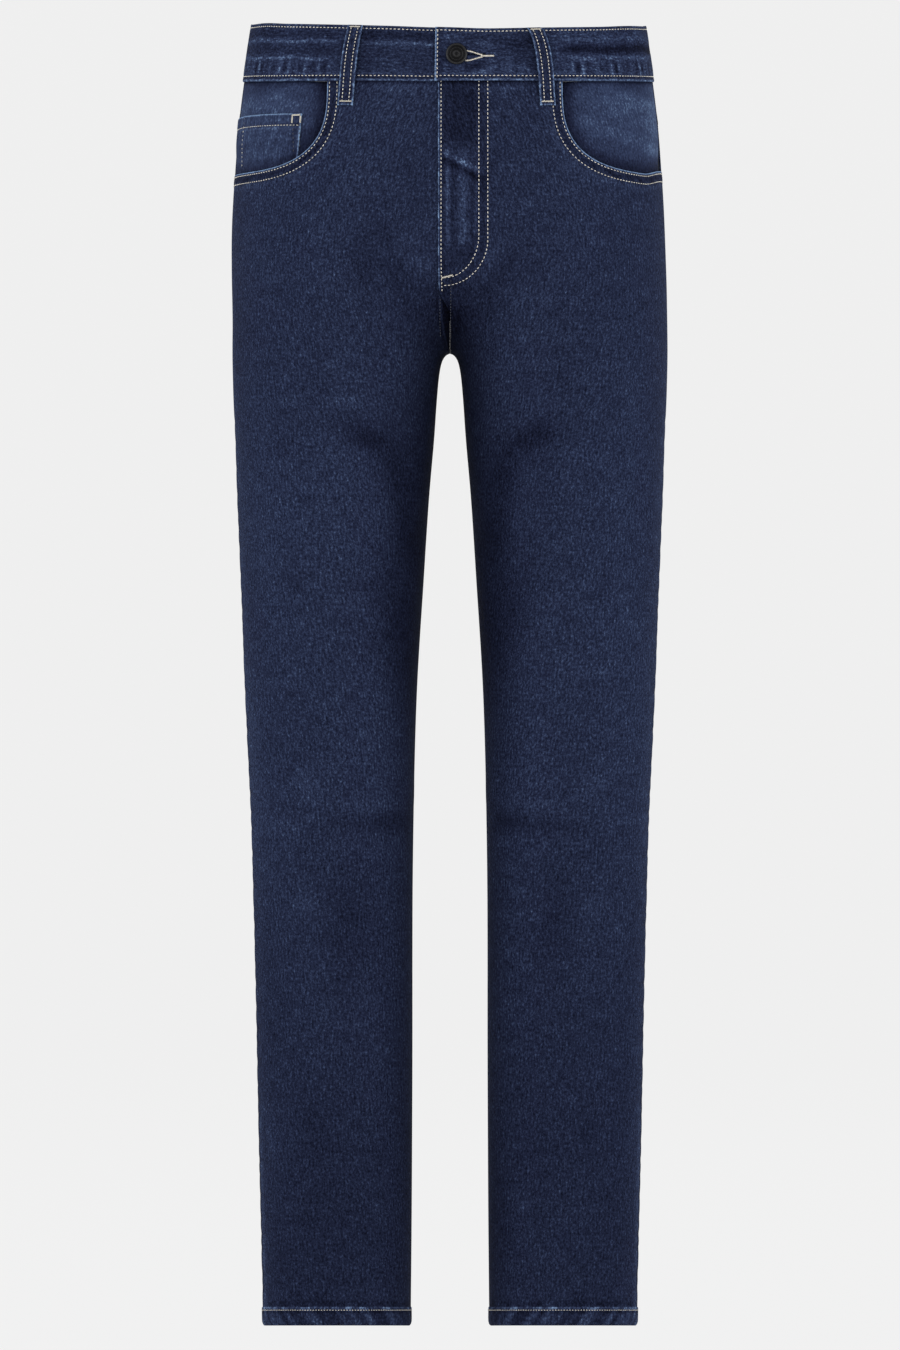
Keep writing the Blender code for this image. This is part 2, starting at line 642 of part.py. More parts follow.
def front_grid(side):
    """Levels, shares and heights of the front panel's rows and columns."""
    crowd_x = MOUTH_TOP_X[side] + np.array(MOUTH_CROWD)
    crowd = share_at_x(FRONT, crowd_x, mouth_drop(side, crowd_x))
    foot = np.array([MOUTH_SIDE_Z[side]])
    last = 1 - seam_share(FRONT, foot)[0]
    outer = np.linspace(crowd[-1], last, OUTER_COLUMNS + 1)
    fixed = np.concatenate([crowd[:-1], outer])
    seam = np.full(CENTRE_COLUMNS + 2, -BAND_HEIGHT - SEAM_GAP)
    top = np.concatenate([seam, mouth_z(side, fixed[1:])])
    first_row = TORSO_ROWS[0]
    levels, shares, heights = [], [], []

    def ends(level):
        edge = fly_edge_x(level) if side == LEFT else 0.0
        length = half_length(FRONT, level)[0]
        return (edge + SEAM_GAP / 2) / length, (edge + SEAM_GAP / 2 + FLY_LAP) / length

    def top_shares(level):
        start, lap = ends(level)
        centre = np.linspace(lap, fixed[0], CENTRE_COLUMNS + 1)[:-1]
        return np.concatenate([[start], centre, fixed])

    for t in TOP_ROWS:
        level = top[0] * (1 - t) + first_row * t
        levels.append(level)
        shares.append(top_shares(level))
        heights.append(top * (1 - t) + first_row * t)
    lower = np.array([*TORSO_ROWS, *leg_levels()], float)
    edge = fly_edge_x(lower) if side == LEFT else 0 * lower
    start = edge + SEAM_GAP / 2
    plain, z = spaced_rows(FRONT, lower, start + FLY_LAP, LEG_COLUMNS)
    plain = np.concatenate([(start / half_length(FRONT, lower))[:, None], plain], axis=1)
    z = np.concatenate([z[:, :1], z], axis=1)
    turned = step_between(lower, first_row, FRONT_BLEND_ENDS_Z)[:, None]
    joined = np.array([top_shares(level) for level in lower]) * (1 - turned) + plain * turned
    f, z = np.concatenate([shares, joined]), np.concatenate([heights, z])
    return np.concatenate([levels, lower]), f, with_hem_tilt(f, with_waist_tilt(FRONT, f, z))


def front_panel(side, name, material):
    levels, f, z = front_grid(side)
    s = f * half_length(FRONT, levels)[:, None]
    relief = fly_lift(s, z) if side == LEFT else -fly_sink(s, z)
    hem = hem_relief(levels)[:, None]
    outer = cloth_points(side, FRONT, f, z, relief + HEM_OUT * hem)
    inner = cloth_points(side, FRONT, f, z, relief - WALL - HEM_IN * hem)
    edge_x = fly_edge_x(levels) if side == LEFT else np.zeros(len(levels))
    limit = np.where(levels < CROTCH_Z, -1e3, edge_x)
    outer, inner = (clear_of_centre(p, side, limit) for p in (outer, inner))
    return wall(name, outer, inner, material)


def yoke_z(f):
    """Height of the yoke's seam, lowest at the centre back."""
    return YOKE_CENTRE_Z + (YOKE_SIDE_Z - YOKE_CENTRE_Z) * np.asarray(f, float) ** 0.9


def back_grid():
    """Levels, shares and heights of the back panel's rows and columns."""
    top = (YOKE_CENTRE_Z + YOKE_SIDE_Z) / 2
    levels = np.array([*(top - d for d in BELOW_YOKE), *TORSO_ROWS, *leg_levels()], float)
    f, z = spaced_rows(BACK, levels, SEAM_GAP / 2, BACK_COLUMNS)
    tilt = 1 - step_between(levels, top, YOKE_TILT_ENDS_Z)
    z = z + (yoke_z(f) - top - SEAM_GAP / 2) * tilt[:, None]
    return levels, f, z


def back_panel(side, name, material):
    levels, f, z = back_grid()
    hem = hem_relief(levels)[:, None]
    outer = cloth_points(side, BACK, f, z, HEM_OUT * hem)
    inner = cloth_points(side, BACK, f, z, -WALL - HEM_IN * hem)
    limit = np.where(levels < CROTCH_Z, -1e3, 0.0)
    outer, inner = (clear_of_centre(p, side, limit) for p in (outer, inner))
    return wall(name, outer, inner, material)


def yoke(side, name, material):
    across = np.linspace(0.0, 1.0, BACK_COLUMNS + 1)[None, :]
    down = np.linspace(0.0, 1.0, YOKE_ROWS + 1)[:, None]
    gap = SEAM_GAP / 2 / half_length(BACK, YOKE_SIDE_Z)[0]
    f = gap + (1 - 2 * gap) * across + 0 * down
    upper = with_waist_tilt(BACK, f, -BAND_HEIGHT) - SEAM_GAP
    lower = yoke_z(f) + SEAM_GAP / 2
    z = upper + (lower - upper) * down
    outer, inner = (cloth_points(side, BACK, f, z, d) for d in (0.0, -WALL))
    limit = np.zeros(len(f))
    outer, inner = (clear_of_centre(p, side, limit) for p in (outer, inner))
    return wall(name, outer, inner, material)


def facing_grid(side):
    """Shares and heights of the facing's rows and columns."""
    top, foot = -BAND_HEIGHT - SEAM_GAP, MOUTH_SIDE_Z[side] - FACING_UNDER
    levels = np.linspace(top, foot, FACING_ROWS + 1)
    start = share_at_x(FRONT, MOUTH_TOP_X[side] - FACING_UNDER, levels)[:, None]
    end = 1 - seam_share(FRONT, levels)[:, None]
    f = start + (end - start) * np.linspace(0.0, 1.0, FACING_COLUMNS + 1)[None, :]
    return f, with_waist_tilt(FRONT, f, levels[:, None])


def facing_offset(side, f, z):
    """The facing lies under the front panel's edge and fills out to the hip in the open part."""
    top_share = share_at_x(FRONT, MOUTH_TOP_X[side], -BAND_HEIGHT)
    inwards = (f - top_share) * half_length(FRONT, -BAND_HEIGHT)
    above = z - mouth_z(side, f.ravel()).reshape(f.shape)
    filled = step_between(above, FACING_FILLS_BELOW, FACING_FILL)
    filled = filled * step_between(inwards, FACING_FILLS_BESIDE, FACING_FILL)
    return -WALL - LAP_GAP + (WALL + LAP_GAP - FACING_SUNK) * filled


def pocket_facing(side, name, material):
    """The cloth behind the pocket mouth, which runs on under the front panel."""
    f, z = facing_grid(side)
    offset = facing_offset(side, f, z)
    outer = cloth_points(side, FRONT, f, z, offset)
    inner = cloth_points(side, FRONT, f, z, offset - FACING_WALL)
    return wall(name, outer, inner, material)


def clipped(polygon, start, end):
    """The part of a polygon on the left of a line. A corner is u, v, x, y, z."""
    (u0, v0), (u1, v1) = start, end
    beside = [(u1 - u0) * (p[1] - v0) - (v1 - v0) * (p[0] - u0) for p in polygon]
    kept = []
    for i, corner in enumerate(polygon):
        j = (i + 1) % len(polygon)
        if beside[i] >= 0:
            kept.append(corner)
        if (beside[i] >= 0) != (beside[j] >= 0):
            t = beside[i] / (beside[i] - beside[j])
            kept.append(corner + (polygon[j] - corner) * t)
    return kept


def patch(name, grid, places, outline, gap, thick, material):
    """A closed patch cut from a panel's own faces by a convex outline, and moved out by gap.

    grid holds the panel's points, and places their position in the plane of the outline.
    """
    outline = np.asarray(outline, float)
    ahead = np.roll(outline, -1, axis=0)
    if (outline[:, 0] * ahead[:, 1] - outline[:, 1] * ahead[:, 0]).sum() < 0:
        outline = outline[::-1]
    corners = np.concatenate([places, grid], axis=2)
    found, faces = [], []

    def number(corner):
        for i, known in enumerate(found):
            if np.linalg.norm(known[2:] - corner[2:]) < MERGE_WITHIN:
                return i
        found.append(corner)
        return len(found) - 1

    for r in range(grid.shape[0] - 1):
        for c in range(grid.shape[1] - 1):
            a, b, d, e = corners[r, c], corners[r, c + 1], corners[r + 1, c + 1], corners[r + 1, c]
            split = np.linalg.norm(a[2:] - d[2:]) <= np.linalg.norm(b[2:] - e[2:])
            for piece in ((a, b, d), (a, d, e)) if split else ((b, d, e), (b, e, a)):
                piece = list(piece)
                for k in range(len(outline)):
                    piece = clipped(piece, outline[k], outline[(k + 1) % len(outline)])
                    if not piece:
                        break
                ids = [number(corner) for corner in piece]
                ids = [i for n, i in enumerate(ids) if i != ids[n - 1]]
                faces += [(ids[0], ids[n], ids[n + 1]) for n in range(1, len(ids) - 1)]

    faces = [f for f in faces if len(set(f)) == 3]
    points = np.array(found)[:, 2:]
    normals = np.zeros_like(points)
    for a, b, c in faces:
        normal = np.cross(points[b] - points[a], points[c] - points[a])
        for i in (a, b, c):
            normals[i] += normal
    normals /= np.linalg.norm(normals, axis=1)[:, None]
    if (normals[:, :2] * points[:, :2]).sum() < 0:
        normals = -normals
    count = len(points)
    triangles = list(faces) + [(c + count, b + count, a + count) for a, b, c in faces]
    directed = {(f[i], f[(i + 1) % 3]) for f in faces for i in range(3)}
    for a, b in directed:
        if (b, a) not in directed:
            triangles += [(b, a, a + count), (b, a + count, b + count)]
    both = np.concatenate([points + normals * gap, points + normals * (gap + thick)])
    return mesh_object(name, both, triangles, material)


def coin_pocket(side, name, material):
    """The small patch on the right facing, which ends at the pocket mouth's edge."""
    f, z = facing_grid(side)
    grid = cloth_points(side, FRONT, f, z, facing_offset(side, f, z))
    places = np.stack([form_x(FRONT, f, z), z], axis=2)
    _, front_f, front_z = front_grid(side)
    mouth_x, mouth = form_x(FRONT, front_f[:1], front_z[:1])[0], front_z[0] + COIN_GAP
    inside = mouth_x > COIN_EDGE_X
    corner = (COIN_EDGE_X, np.interp(COIN_EDGE_X, mouth_x, mouth))
    beyond = mouth_x[-1] + COIN_BEYOND
    outline = [(COIN_EDGE_X, COIN_TOP_Z - COIN_TILT), corner]
    outline += zip(mouth_x[inside], mouth[inside])
    outline += [(beyond, mouth[-1]), (beyond, COIN_TOP_Z)]
    return patch(name, grid, places, outline, PATCH_GAP, FACING_WALL, material)


def back_pocket(side, name, material):
    """A five-sided patch pocket with a plain face, placed by its distance from the outseam."""
    _, f, z = back_grid()
    grid = cloth_points(side, BACK, f, z, 0.0)
    from_outseam = (1 - f) * half_length(BACK, z.ravel()).reshape(z.shape)
    places = np.stack([from_outseam, z], axis=2)
    middle = POCKET_FROM_OUTSEAM + POCKET_TOP_WIDTH / 2
    top, low = POCKET_TOP_WIDTH / 2, POCKET_LOW_WIDTH / 2
    rise = POCKET_TOP_TILT / 2
    outline = [
        (middle - top, POCKET_TOP_Z + rise),
        (middle + top, POCKET_TOP_Z - rise),
        (middle + low, POCKET_TOP_Z - POCKET_SIDE - rise),
        (middle, POCKET_TOP_Z - POCKET_TIP),
        (middle - low, POCKET_TOP_Z - POCKET_SIDE + rise),
    ]
    return patch(name, grid, places, outline, PATCH_GAP, PATCH_WALL, material)


def band_stations():
    """Columns of the waistband, from its left front end round the back to the underlap: side, half
    and share. Also the length of a front half."""
    front_mm = half_length(FRONT, -BAND_HEIGHT / 2)[0]
    left = [BAND_END_X, *BAND_LEFT, *BAND_SIDES]
    right = [*reversed(BAND_SIDES), *BAND_RIGHT, -UNDERLAP_X]
    seams = np.linspace(0.0, 1.0, BAND_BACK_COLUMNS + 1)
    stations = [(LEFT, FRONT, s / front_mm) for s in left]
    stations += [(LEFT, BACK, 1 - t) for t in seams]
    stations += [(RIGHT, BACK, t) for t in seams[1:]]
    stations += [(RIGHT, FRONT, s / front_mm) for s in right]
    return stations, front_mm


def band_lift(side, half, s):
    """How far the waistband's ends stand out over each other at a distance from the centre."""
    if half == BACK:
        return 0.0
    if side == LEFT:
        return BAND_LIFT * (1 - step_between(s, LIFT_FLAT, LIFT_ENDS))
    return -BAND_SINK * step_between(s, BAND_SINK_FROM, BAND_SINK_TO)


def waistband(name, material):
    """One strip round the waist whose left end laps over its right one, with a buttonhole."""
    stations, front_mm = band_stations()
    b, eye, slot = BUTTON_DROP, EYELET_HALF, SLOT_HALF
    drops = [0.0, BAND_UPPER_ROW, b - eye, b - slot, b + slot, b + eye, BAND_LOWER_ROW, BAND_HEIGHT]
    outer, inner = [], []
    for side, half, share in stations:
        f = np.full(len(drops), share)
        offset = BAND_PROUD + band_lift(side, half, share * front_mm)
        z = band_z(side, half, f, np.array(drops))
        outer.append(cloth_points(side, half, f, z, offset))
        inner.append(cloth_points(side, half, f, z, offset - BAND_WALL))
    outer, inner = np.stack(outer, axis=1), np.stack(inner, axis=1)
    eyelet = {(row, 2) for row in (2, 3, 4)}
    slit = {(3, column) for column in (3, 4, 5)}
    return wall(name, outer, inner, material, holes=eyelet | slit)


def belt_loop(name, material):
    """A strip held at the top edge and below the waistband, standing off between them."""
    side, half, top_s, foot_s, turn = LOOPS[name]
    drops = np.linspace(LOOP_PROFILE[0][0], LOOP_PROFILE[-1][0], LOOP_STEPS + 1)
    share = (drops - drops[0]) / (drops[-1] - drops[0])
    middle = top_s + (foot_s - top_s) * share**turn
    stand_off = smooth_read(LOOP_TABLE["drop"], LOOP_TABLE["stand_off"], drops)
    across = np.array([-0.5, 0.0, 0.5]) * LOOP_WIDTH
    s = middle[:, None] + across[None, :]
    f = s / half_length(half, -drops)[:, None]
    z = waist_z(half, f) - drops[:, None] + band_rise(side, half, f) * (1 - share[:, None])
    inner = cloth_points(side, half, f, z, stand_off[:, None])
    outer = cloth_points(side, half, f, z, stand_off[:, None] + LOOP_WALL)
    return wall(name, outer, inner, material)


def button(name, material):
    """A shank button, turned round its own axis and then set on the waistband. Its shank runs
    through the eyelet to the underlap."""
    share = BUTTON_S / half_length(FRONT, -BUTTON_DROP)
    z = band_z(LEFT, FRONT, share, BUTTON_DROP)
    seat, out = (Vector(cloth_points(LEFT, FRONT, share, z, d)[0]) for d in (0.0, 1.0))
    foot = BAND_PROUD - BAND_SINK + SEAM_GAP
    under = BAND_PROUD + BAND_LIFT + SEAM_GAP
    head = [(BUTTON_RADIUS + dr, under + height) for dr, height in BUTTON_HEAD]
    profile = [(0.0, foot), (SHANK_RADIUS, foot), (SHANK_RADIUS, under), *head, (0.0, head[-1][1])]
    turned = bmesh.new()
    corners = [turned.verts.new((r * M_PER_MM, 0.0, h * M_PER_MM)) for r, h in profile]
    edges = [turned.edges.new(pair) for pair in zip(corners, corners[1:])]
    bmesh.ops.spin(
        turned,
        geom=corners + edges,
        cent=(0.0, 0.0, 0.0),
        axis=(0.0, 0.0, 1.0),
        angle=2 * math.pi,
        steps=BUTTON_SIDES,
        use_merge=True,
    )
    bmesh.ops.remove_doubles(turned, verts=turned.verts, dist=M_PER_MM / 1000)
    bmesh.ops.recalc_face_normals(turned, faces=turned.faces)
    mesh = bpy.data.meshes.new(name)
    turned.to_mesh(mesh)
    turned.free()
    made = placed(name, mesh, material)
    made.location = seat * M_PER_MM
    made.rotation_euler = (out - seat).to_track_quat("Z", "Y").to_euler()
    return made


def main():
    for old in list(bpy.data.objects):
        bpy.data.objects.remove(old, do_unlink=True)
    cloth = plain("denim", INDIGO, CLOTH_ROUGHNESS)
    faded = plain("denim_faded", FADED_INDIGO, CLOTH_ROUGHNESS)
    metal = gunmetal("button_metal")
    for side, word in ((LEFT, "left"), (RIGHT, "right")):
        front_panel(side, f"front_{word}", cloth)
        back_panel(side, f"back_{word}", cloth)
        yoke(side, f"yoke_{word}", cloth)
        pocket_facing(side, f"pocket_facing_{word}", faded)
        back_pocket(side, f"back_pocket_{word}", cloth)
    coin_pocket(RIGHT, "coin_pocket", faded)
    waistband("waistband", cloth)
    for name in LOOPS:
        belt_loop(name, cloth)
    button("button", metal)


main()
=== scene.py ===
"""Looks of the slim five-pocket jeans: denim shells with their creases, real stitches and a button.

Each shell follows the surface that its CAD solid was made from. Tables and sizes are in
millimetres, and meshes are made in metres.

A place on the cloth is (half, f, z): the front or back half of one side's section at height z, and
the share f of that half's length, from 0 at the centre seam or inseam to 1 at the outseam.
"""

import math

import bpy
import numpy as np
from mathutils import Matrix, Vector


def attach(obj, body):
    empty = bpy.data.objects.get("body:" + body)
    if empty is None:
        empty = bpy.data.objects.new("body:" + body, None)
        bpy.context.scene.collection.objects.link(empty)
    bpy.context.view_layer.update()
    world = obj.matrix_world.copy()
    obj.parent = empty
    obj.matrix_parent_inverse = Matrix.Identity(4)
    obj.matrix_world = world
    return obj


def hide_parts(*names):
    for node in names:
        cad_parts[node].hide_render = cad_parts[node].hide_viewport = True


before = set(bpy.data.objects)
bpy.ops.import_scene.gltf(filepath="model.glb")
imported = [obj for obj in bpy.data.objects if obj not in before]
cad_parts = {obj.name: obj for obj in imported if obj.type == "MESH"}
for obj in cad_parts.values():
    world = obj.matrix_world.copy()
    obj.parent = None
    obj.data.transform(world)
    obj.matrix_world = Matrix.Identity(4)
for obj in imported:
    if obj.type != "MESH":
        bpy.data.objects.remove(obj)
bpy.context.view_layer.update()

M_PER_MM = 0.001
FRONT, BACK = "front", "back"
LEFT, RIGHT = 1, -1

# Cloth walls and gaps, as in the solids
WALL = 1.4
FACING_WALL = 1.2
PATCH_WALL = 1.3
BAND_WALL = 2.8
BAND_PROUD = 1.2
BAND_ROW = 3.9
SEAM_GAP = 0.05
LAP_GAP = 1.1
PATCH_GAP = 0.35

# Heights
CROTCH_Z = -269.0
HEM_Z = -1067.5
HEM_HEIGHT = 15.0
HEM_OUT, HEM_IN = 0.7, 0.5
HEM_ROW = 12.8
HEM_ROLL, HEM_ROLLED_IN = 4.2, 2.4
BAND_HEIGHT = 42.0
WAIST_TILT_FRONT = 0.12
WAIST_TILT_BACK = 0.04
TILT_ENDS_Z = -165.0
# The waistband is this much higher at the side seams than at the centre seams
SIDE_DIP = 4.6
# How far the waistband's top edge stands above its level, at each distance to the wearer's left
RISE_COLUMNS = ("x", "rise")
BAND_RISE = (
    (-163, 0.2),
    (-150, 2.9),
    (-130, 3.3),
    (-90, 3.3),
    (-50, 2.7),
    (0, 1.4),
    (30, 0.4),
    (60, 1.0),
    (120, 1.0),
    (150, 0.7),
    (163, -0.8),
)
# The hem rises towards the front of the leg, by this much for each mm forward of the outseam
HEM_TILT = 0.088
HEM_TILT_ENDS_Z, HEM_TILT_FULL_Z = -960.0, -1044.0
# The hips lean to the wearer's right: by this much at the outseams, and less towards the middle
HIP_LEAN = 1.3
HIP_LEAN_REACH = 170.0
HIP_LEAN_ENDS_Z, HIP_LEAN_FULL_Z = -255.0, -160.0

# The section at each height, as in the solids: half-width to the outseam, front and back depth,
# the x of the front-most and back-most points, and the power of the rounded corners.
FORM_COLUMNS = ("z", "outer", "front", "back", "peak", "power")
FORM = (
    (12, 159.6, -106.0, 109.0, 8.0, 2.20),
    (0, 161.0, -108.0, 112.0, 8.0, 2.20),
    (-20, 164.0, -110.0, 115.5, 12.0, 2.22),
    (-46, 167.6, -113.0, 121.0, 20.0, 2.25),
    (-80, 171.8, -116.5, 129.0, 32.0, 2.27),
    (-120, 175.0, -119.0, 137.5, 46.0, 2.27),
    (-160, 177.4, -120.0, 142.5, 58.0, 2.25),
    (-205, 178.4, -118.5, 141.0, 72.0, 2.22),
    (-243, 178.4, -113.5, 132.0, 84.0, 2.18),
    (-270, 178.5, -109.0, 121.5, 90.5, 2.15),
    (-300, 177.8, -105.5, 113.0, 93.5, 2.12),
    (-341, 175.9, -102.0, 103.0, 94.5, 2.10),
    (-390, 174.3, -99.0, 94.0, 95.5, 2.10),
    (-456, 171.4, -95.0, 83.5, 96.5, 2.10),
    (-521, 168.9, -90.5, 73.5, 97.0, 2.10),
    (-587, 166.0, -84.5, 64.5, 96.8, 2.10),
    (-653, 162.8, -77.5, 60.5, 96.2, 2.10),
    (-718, 161.1, -70.0, 62.0, 96.0, 2.10),
    (-784, 159.5, -63.5, 65.5, 95.2, 2.10),
    (-850, 158.3, -58.0, 68.0, 94.6, 2.10),
    (-915, 157.0, -54.0, 70.0, 94.0, 2.10),
    (-981, 155.4, -51.0, 70.5, 93.3, 2.10),
    (-1075, 153.2, -48.0, 70.0, 92.8, 2.10),
)

# The gap between the legs: drop below the crotch, x of the inseam, and the part of it that is the
# arch at the gap's top.
INSEAM_COLUMNS = ("drop", "inner", "arch")
INSEAM = (
    (0.0, 0.0, 0.0),
    (0.6, 2.0, 1.95),
    (2.5, 4.1, 3.9),
    (5.5, 6.0, 5.6),
    (14.0, 8.2, 7.2),
    (38.0, 10.7, 8.0),
    (71.0, 13.0, 8.2),
    (120.0, 17.2, 8.2),
    (186.0, 21.5, 8.2),
    (284.0, 27.3, 8.2),
    (415.0, 30.3, 8.2),
    (610.0, 30.9, 8.2),
    (730.0, 31.6, 8.2),
    (810.0, 32.4, 8.2),
)
ARCH_TIGHTNESS, ARCH_OPENS = 7.0, 40.0
RISE_HEIGHT = {FRONT: 88.0, BACK: 120.0}

# The largest folds, as in the solids: half, share and height of the two ends, half the width, and
# height of the ridge, negative for a trough.
FOLDS = (
    (FRONT, 0.10, -300, 0.62, -352, 17, -1.9),
    (FRONT, 0.16, -262, 0.66, -306, 16, 1.5),
    (FRONT, 0.04, -400, 0.36, -470, 20, -1.5),
    (FRONT, 0.02, -655, 0.58, -662, 13, -1.8),
    (FRONT, 0.05, -628, 0.50, -632, 14, 1.5),
    (FRONT, 0.10, -700, 0.55, -716, 18, -1.3),
    (FRONT, 0.62, -905, 0.97, -880, 12, -1.4),
    (FRONT, 0.20, -1010, 0.75, -1018, 14, 1.2),
    (BACK, 0.10, -276, 0.80, -300, 15, -2.4),
    (BACK, 0.16, -318, 0.70, -338, 16, 1.8),
    (BACK, 0.05, -612, 0.90, -628, 14, -2.4),
    (BACK, 0.10, -652, 0.85, -640, 13, 2.0),
    (BACK, 0.15, -684, 0.92, -672, 14, -2.0),
    (BACK, 0.20, -985, 0.85, -975, 15, -1.5),
)

# Fly
FLY_EDGE_X = -9.7
# Distance of the row of stitches beside the fly's edge
FLY_ROW = 2.5
FLY_EDGE_ENDS_Z, FLY_EDGE_CENTRED_Z = -222.0, -244.0
FLY_RELIEF_ENDS_Z = -270.0
FLY_LIFT, FLY_SINK = 0.7, 1.5
FLY_WIDTH_X = 29.8
FLY_CURVE_Z, FLY_BOTTOM_Z = -186.0, -223.0
FLY_FADE = 9.0
SINK_FROM, SINK_TO = 38.0, 12.0

# Waistband ends
BAND_END_X = -12.0
UNDERLAP_X = 32.0
BAND_LIFT, BAND_SINK = 1.6, 1.6
LIFT_FLAT, LIFT_ENDS = 34.0, 64.0
BAND_SINK_FROM, BAND_SINK_TO = 52.0, 14.0

# Button and buttonhole
BUTTON_S = 5.2
BUTTON_DROP = 21.2
BUTTON_RADIUS = 8.7
SHANK_RADIUS = 2.0
SLOT_HALF = 0.7
SLOT_END_S = 28.0

# Front pockets
MOUTH_TOP_X = {RIGHT: 97.0, LEFT: 89.5}
MOUTH_SIDE_Z = {RIGHT: -122.4, LEFT: -124.0}
MOUTH_POWER = {RIGHT: 2.7, LEFT: 2.82}
MOUTH_TURN_UP = {RIGHT: 0.0, LEFT: 5.0}
MOUTH_TURN_UP_SHARE = 0.2
FACING_UNDER = 18.0
FACING_FILL = 28.0
FACING_SUNK = 0.8
COIN_TOP_Z = -77.5
COIN_EDGE_X = 118.5
COIN_GAP = 0.6
COIN_TILT = 2.4
COIN_HEM = 9.5
COIN_SIDE_ROW = 46.0

# Yoke seam and back pockets
YOKE_CENTRE_Z, YOKE_SIDE_Z = -116.0, -84.0
YOKE_TILT_ENDS_Z = -190.0
POCKET_FROM_OUTSEAM = 50.0
POCKET_TOP_WIDTH, POCKET_LOW_WIDTH = 148.0, 126.0
POCKET_TOP_Z = -131.0
POCKET_TOP_TILT = 7.0
POCKET_SIDE, POCKET_TIP = 126.0, 154.0

# Belt loops: drop below the top edge, and stand-off of the loop's inner face from the form
LOOP_WIDTH = 12.5
LOOP_WALL = 1.6
LOOP_PROFILE = (
    (0.4, 1.7),
    (5.0, 2.2),
    (13.0, 3.9),
    (23.0, 4.8),
    (34.0, 4.5),
    (44.0, 3.2),
    (53.0, 1.4),
    (62.5, 0.6),
)
# Each loop: side, half, its distance from the centre seam at its top and at its foot, and how
# early it turns from the one to the other: 1 is straight, less is earlier
LOOPS = {
    "belt_loop_front_right": (RIGHT, FRONT, 75.2, 83.0, 0.9),
    "belt_loop_front_left": (LEFT, FRONT, 66.0, 78.0, 0.45),
    "belt_loop_side_right": (RIGHT, BACK, 152.0, 158.0, 0.8),
    "belt_loop_side_left": (LEFT, BACK, 152.0, 158.0, 0.8),
    "belt_loop_back": (LEFT, BACK, 0.0, 0.0, 1.0),
}
LOOP_ROW = 3.5
LOOP_TACK_TOP, LOOP_TACK_FOOT = 1.6, 2.9

# Creases of the front as they lie in the front view, with painted shade in their troughs and painted
# highlight on their ridges that partly stands for worn fades: x and z of the two ends, half the
# width, height of the ridge, and how much lighter it is painted. The legs are alike, mirrored.
LEG_CREASES = (
    (61, -172, 22, -252, 14, -0.7, -0.07),
    (38, -114, 22, -153, 4.5, -0.5, -0.06),
    (78, -184, 64, -224, 10, -0.5, -0.05),
    (46, -186, 14, -214, 8, 0.6, 0.07),
    (88, -332, 52, -348, 11, -0.9, -0.12),
    (76, -338, 40, -352, 13, -0.5, -0.10),
    (49, -350, 38, -392, 13, -0.8, -0.12),
    (38, -392, 32, -446, 12, -0.5, -0.10),
    (98, -318, 70, -312, 9, 0.5, 0.04),
    (40, -440, 34, -560, 18, -0.3, -0.10),
    (58, -420, 52, -520, 16, -0.3, -0.05),
    (130, -448, 120, -470, 6, -0.5, -0.06),
    (140, -343, 132, -360, 7, -0.3, -0.04),
    (126, -352, 88, -356, 5, 0.3, 0.03),
    (66, -654, 32, -650, 9, -0.9, -0.12),
    (104, -655, 62, -652, 7, -0.5, -0.06),
    (96, -640, 44, -638, 6, 0.4, 0.05),
    (160, -651, 120, -655, 6, 0.4, 0.05),
    (124, -604, 104, -646, 13, 0.6, 0.06),
    (118, -706, 112, -732, 12, 0.5, 0.06),
    (90, -690, 78, -772, 18, -0.7, -0.06),
    (52, -694, 46, -776, 8, 0.3, 0.02),
    (116, -880, 108, -925, 12, -0.5, -0.05),
    (149, -898, 142, -934, 3.5, 0.7, 0.06),
    (62, -955, 58, -975, 9, 0.4, 0.05),
    (80, -920, 52, -924, 6, -0.3, -0.03),
    (120, -1038, 96, -1044, 7, 0.4, -0.04),
    (70, -1040, 50, -1036, 6, -0.4, 0.03),
)

THREAD_WIDTH = 0.74
STITCH_PITCH = 3.3
STITCH_LENGTH = 2.0

# Distance of the stitch rows from the edges that they hold
EDGE_ROW, SECOND_ROW = 2.2, 8.6
RISE_ROWS = (1.7, 8.1)
YOKE_ROWS = (1.8, 8.2)
COIN_ROWS = (2.2, 8.2)
POCKET_EDGE_ROWS = (1.8, 8.0)
POCKET_TOP_ROWS = (10.0, 15.5)
BAND_TOP_ROW, BAND_END_ROW = 2.4, 2.0
FRONT_ROWS_TOP_Z = -47.0
# Each curved row of the fly: distance from the centre line, and heights where its curve starts
# and ends
FLY_CURVED_ROWS = ((23.2, -179.0, -212.8), (30.4, -182.5, -218.8))
FLY_ROWS_END_S = -6.0
# The bar tack of the fly: distance from the centre line and height of its two ends
FLY_TACK = ((-7.1, 2.2), (-213.2, -210.8))
# The dim rows below the fly: distance from the centre line and height of the top
CROTCH_ROWS = {RIGHT: (7.4, -230.0), LEFT: (0.9, -214.0)}
CROTCH_ROWS_FOOT_Z = -259.0

# Photograph: the camera is level, far away and centred on the front
CAMERA_DISTANCE = 6000.0
CAMERA_Z = -533.0
VIEW_HEIGHT = 1107.0
SENSOR = 36.0
FLOOR_Z = -1150.0

MAP_ROWS, MAP_COLUMNS = 220, 261
ARC_POINTS = 160
MAP_TOP_Z, MAP_FOOT_Z = 12.0, -1075.0


def table(columns, rows):
    """The rows as one array for each column name."""
    return {name: np.array([row[i] for row in rows]) for i, name in enumerate(columns)}


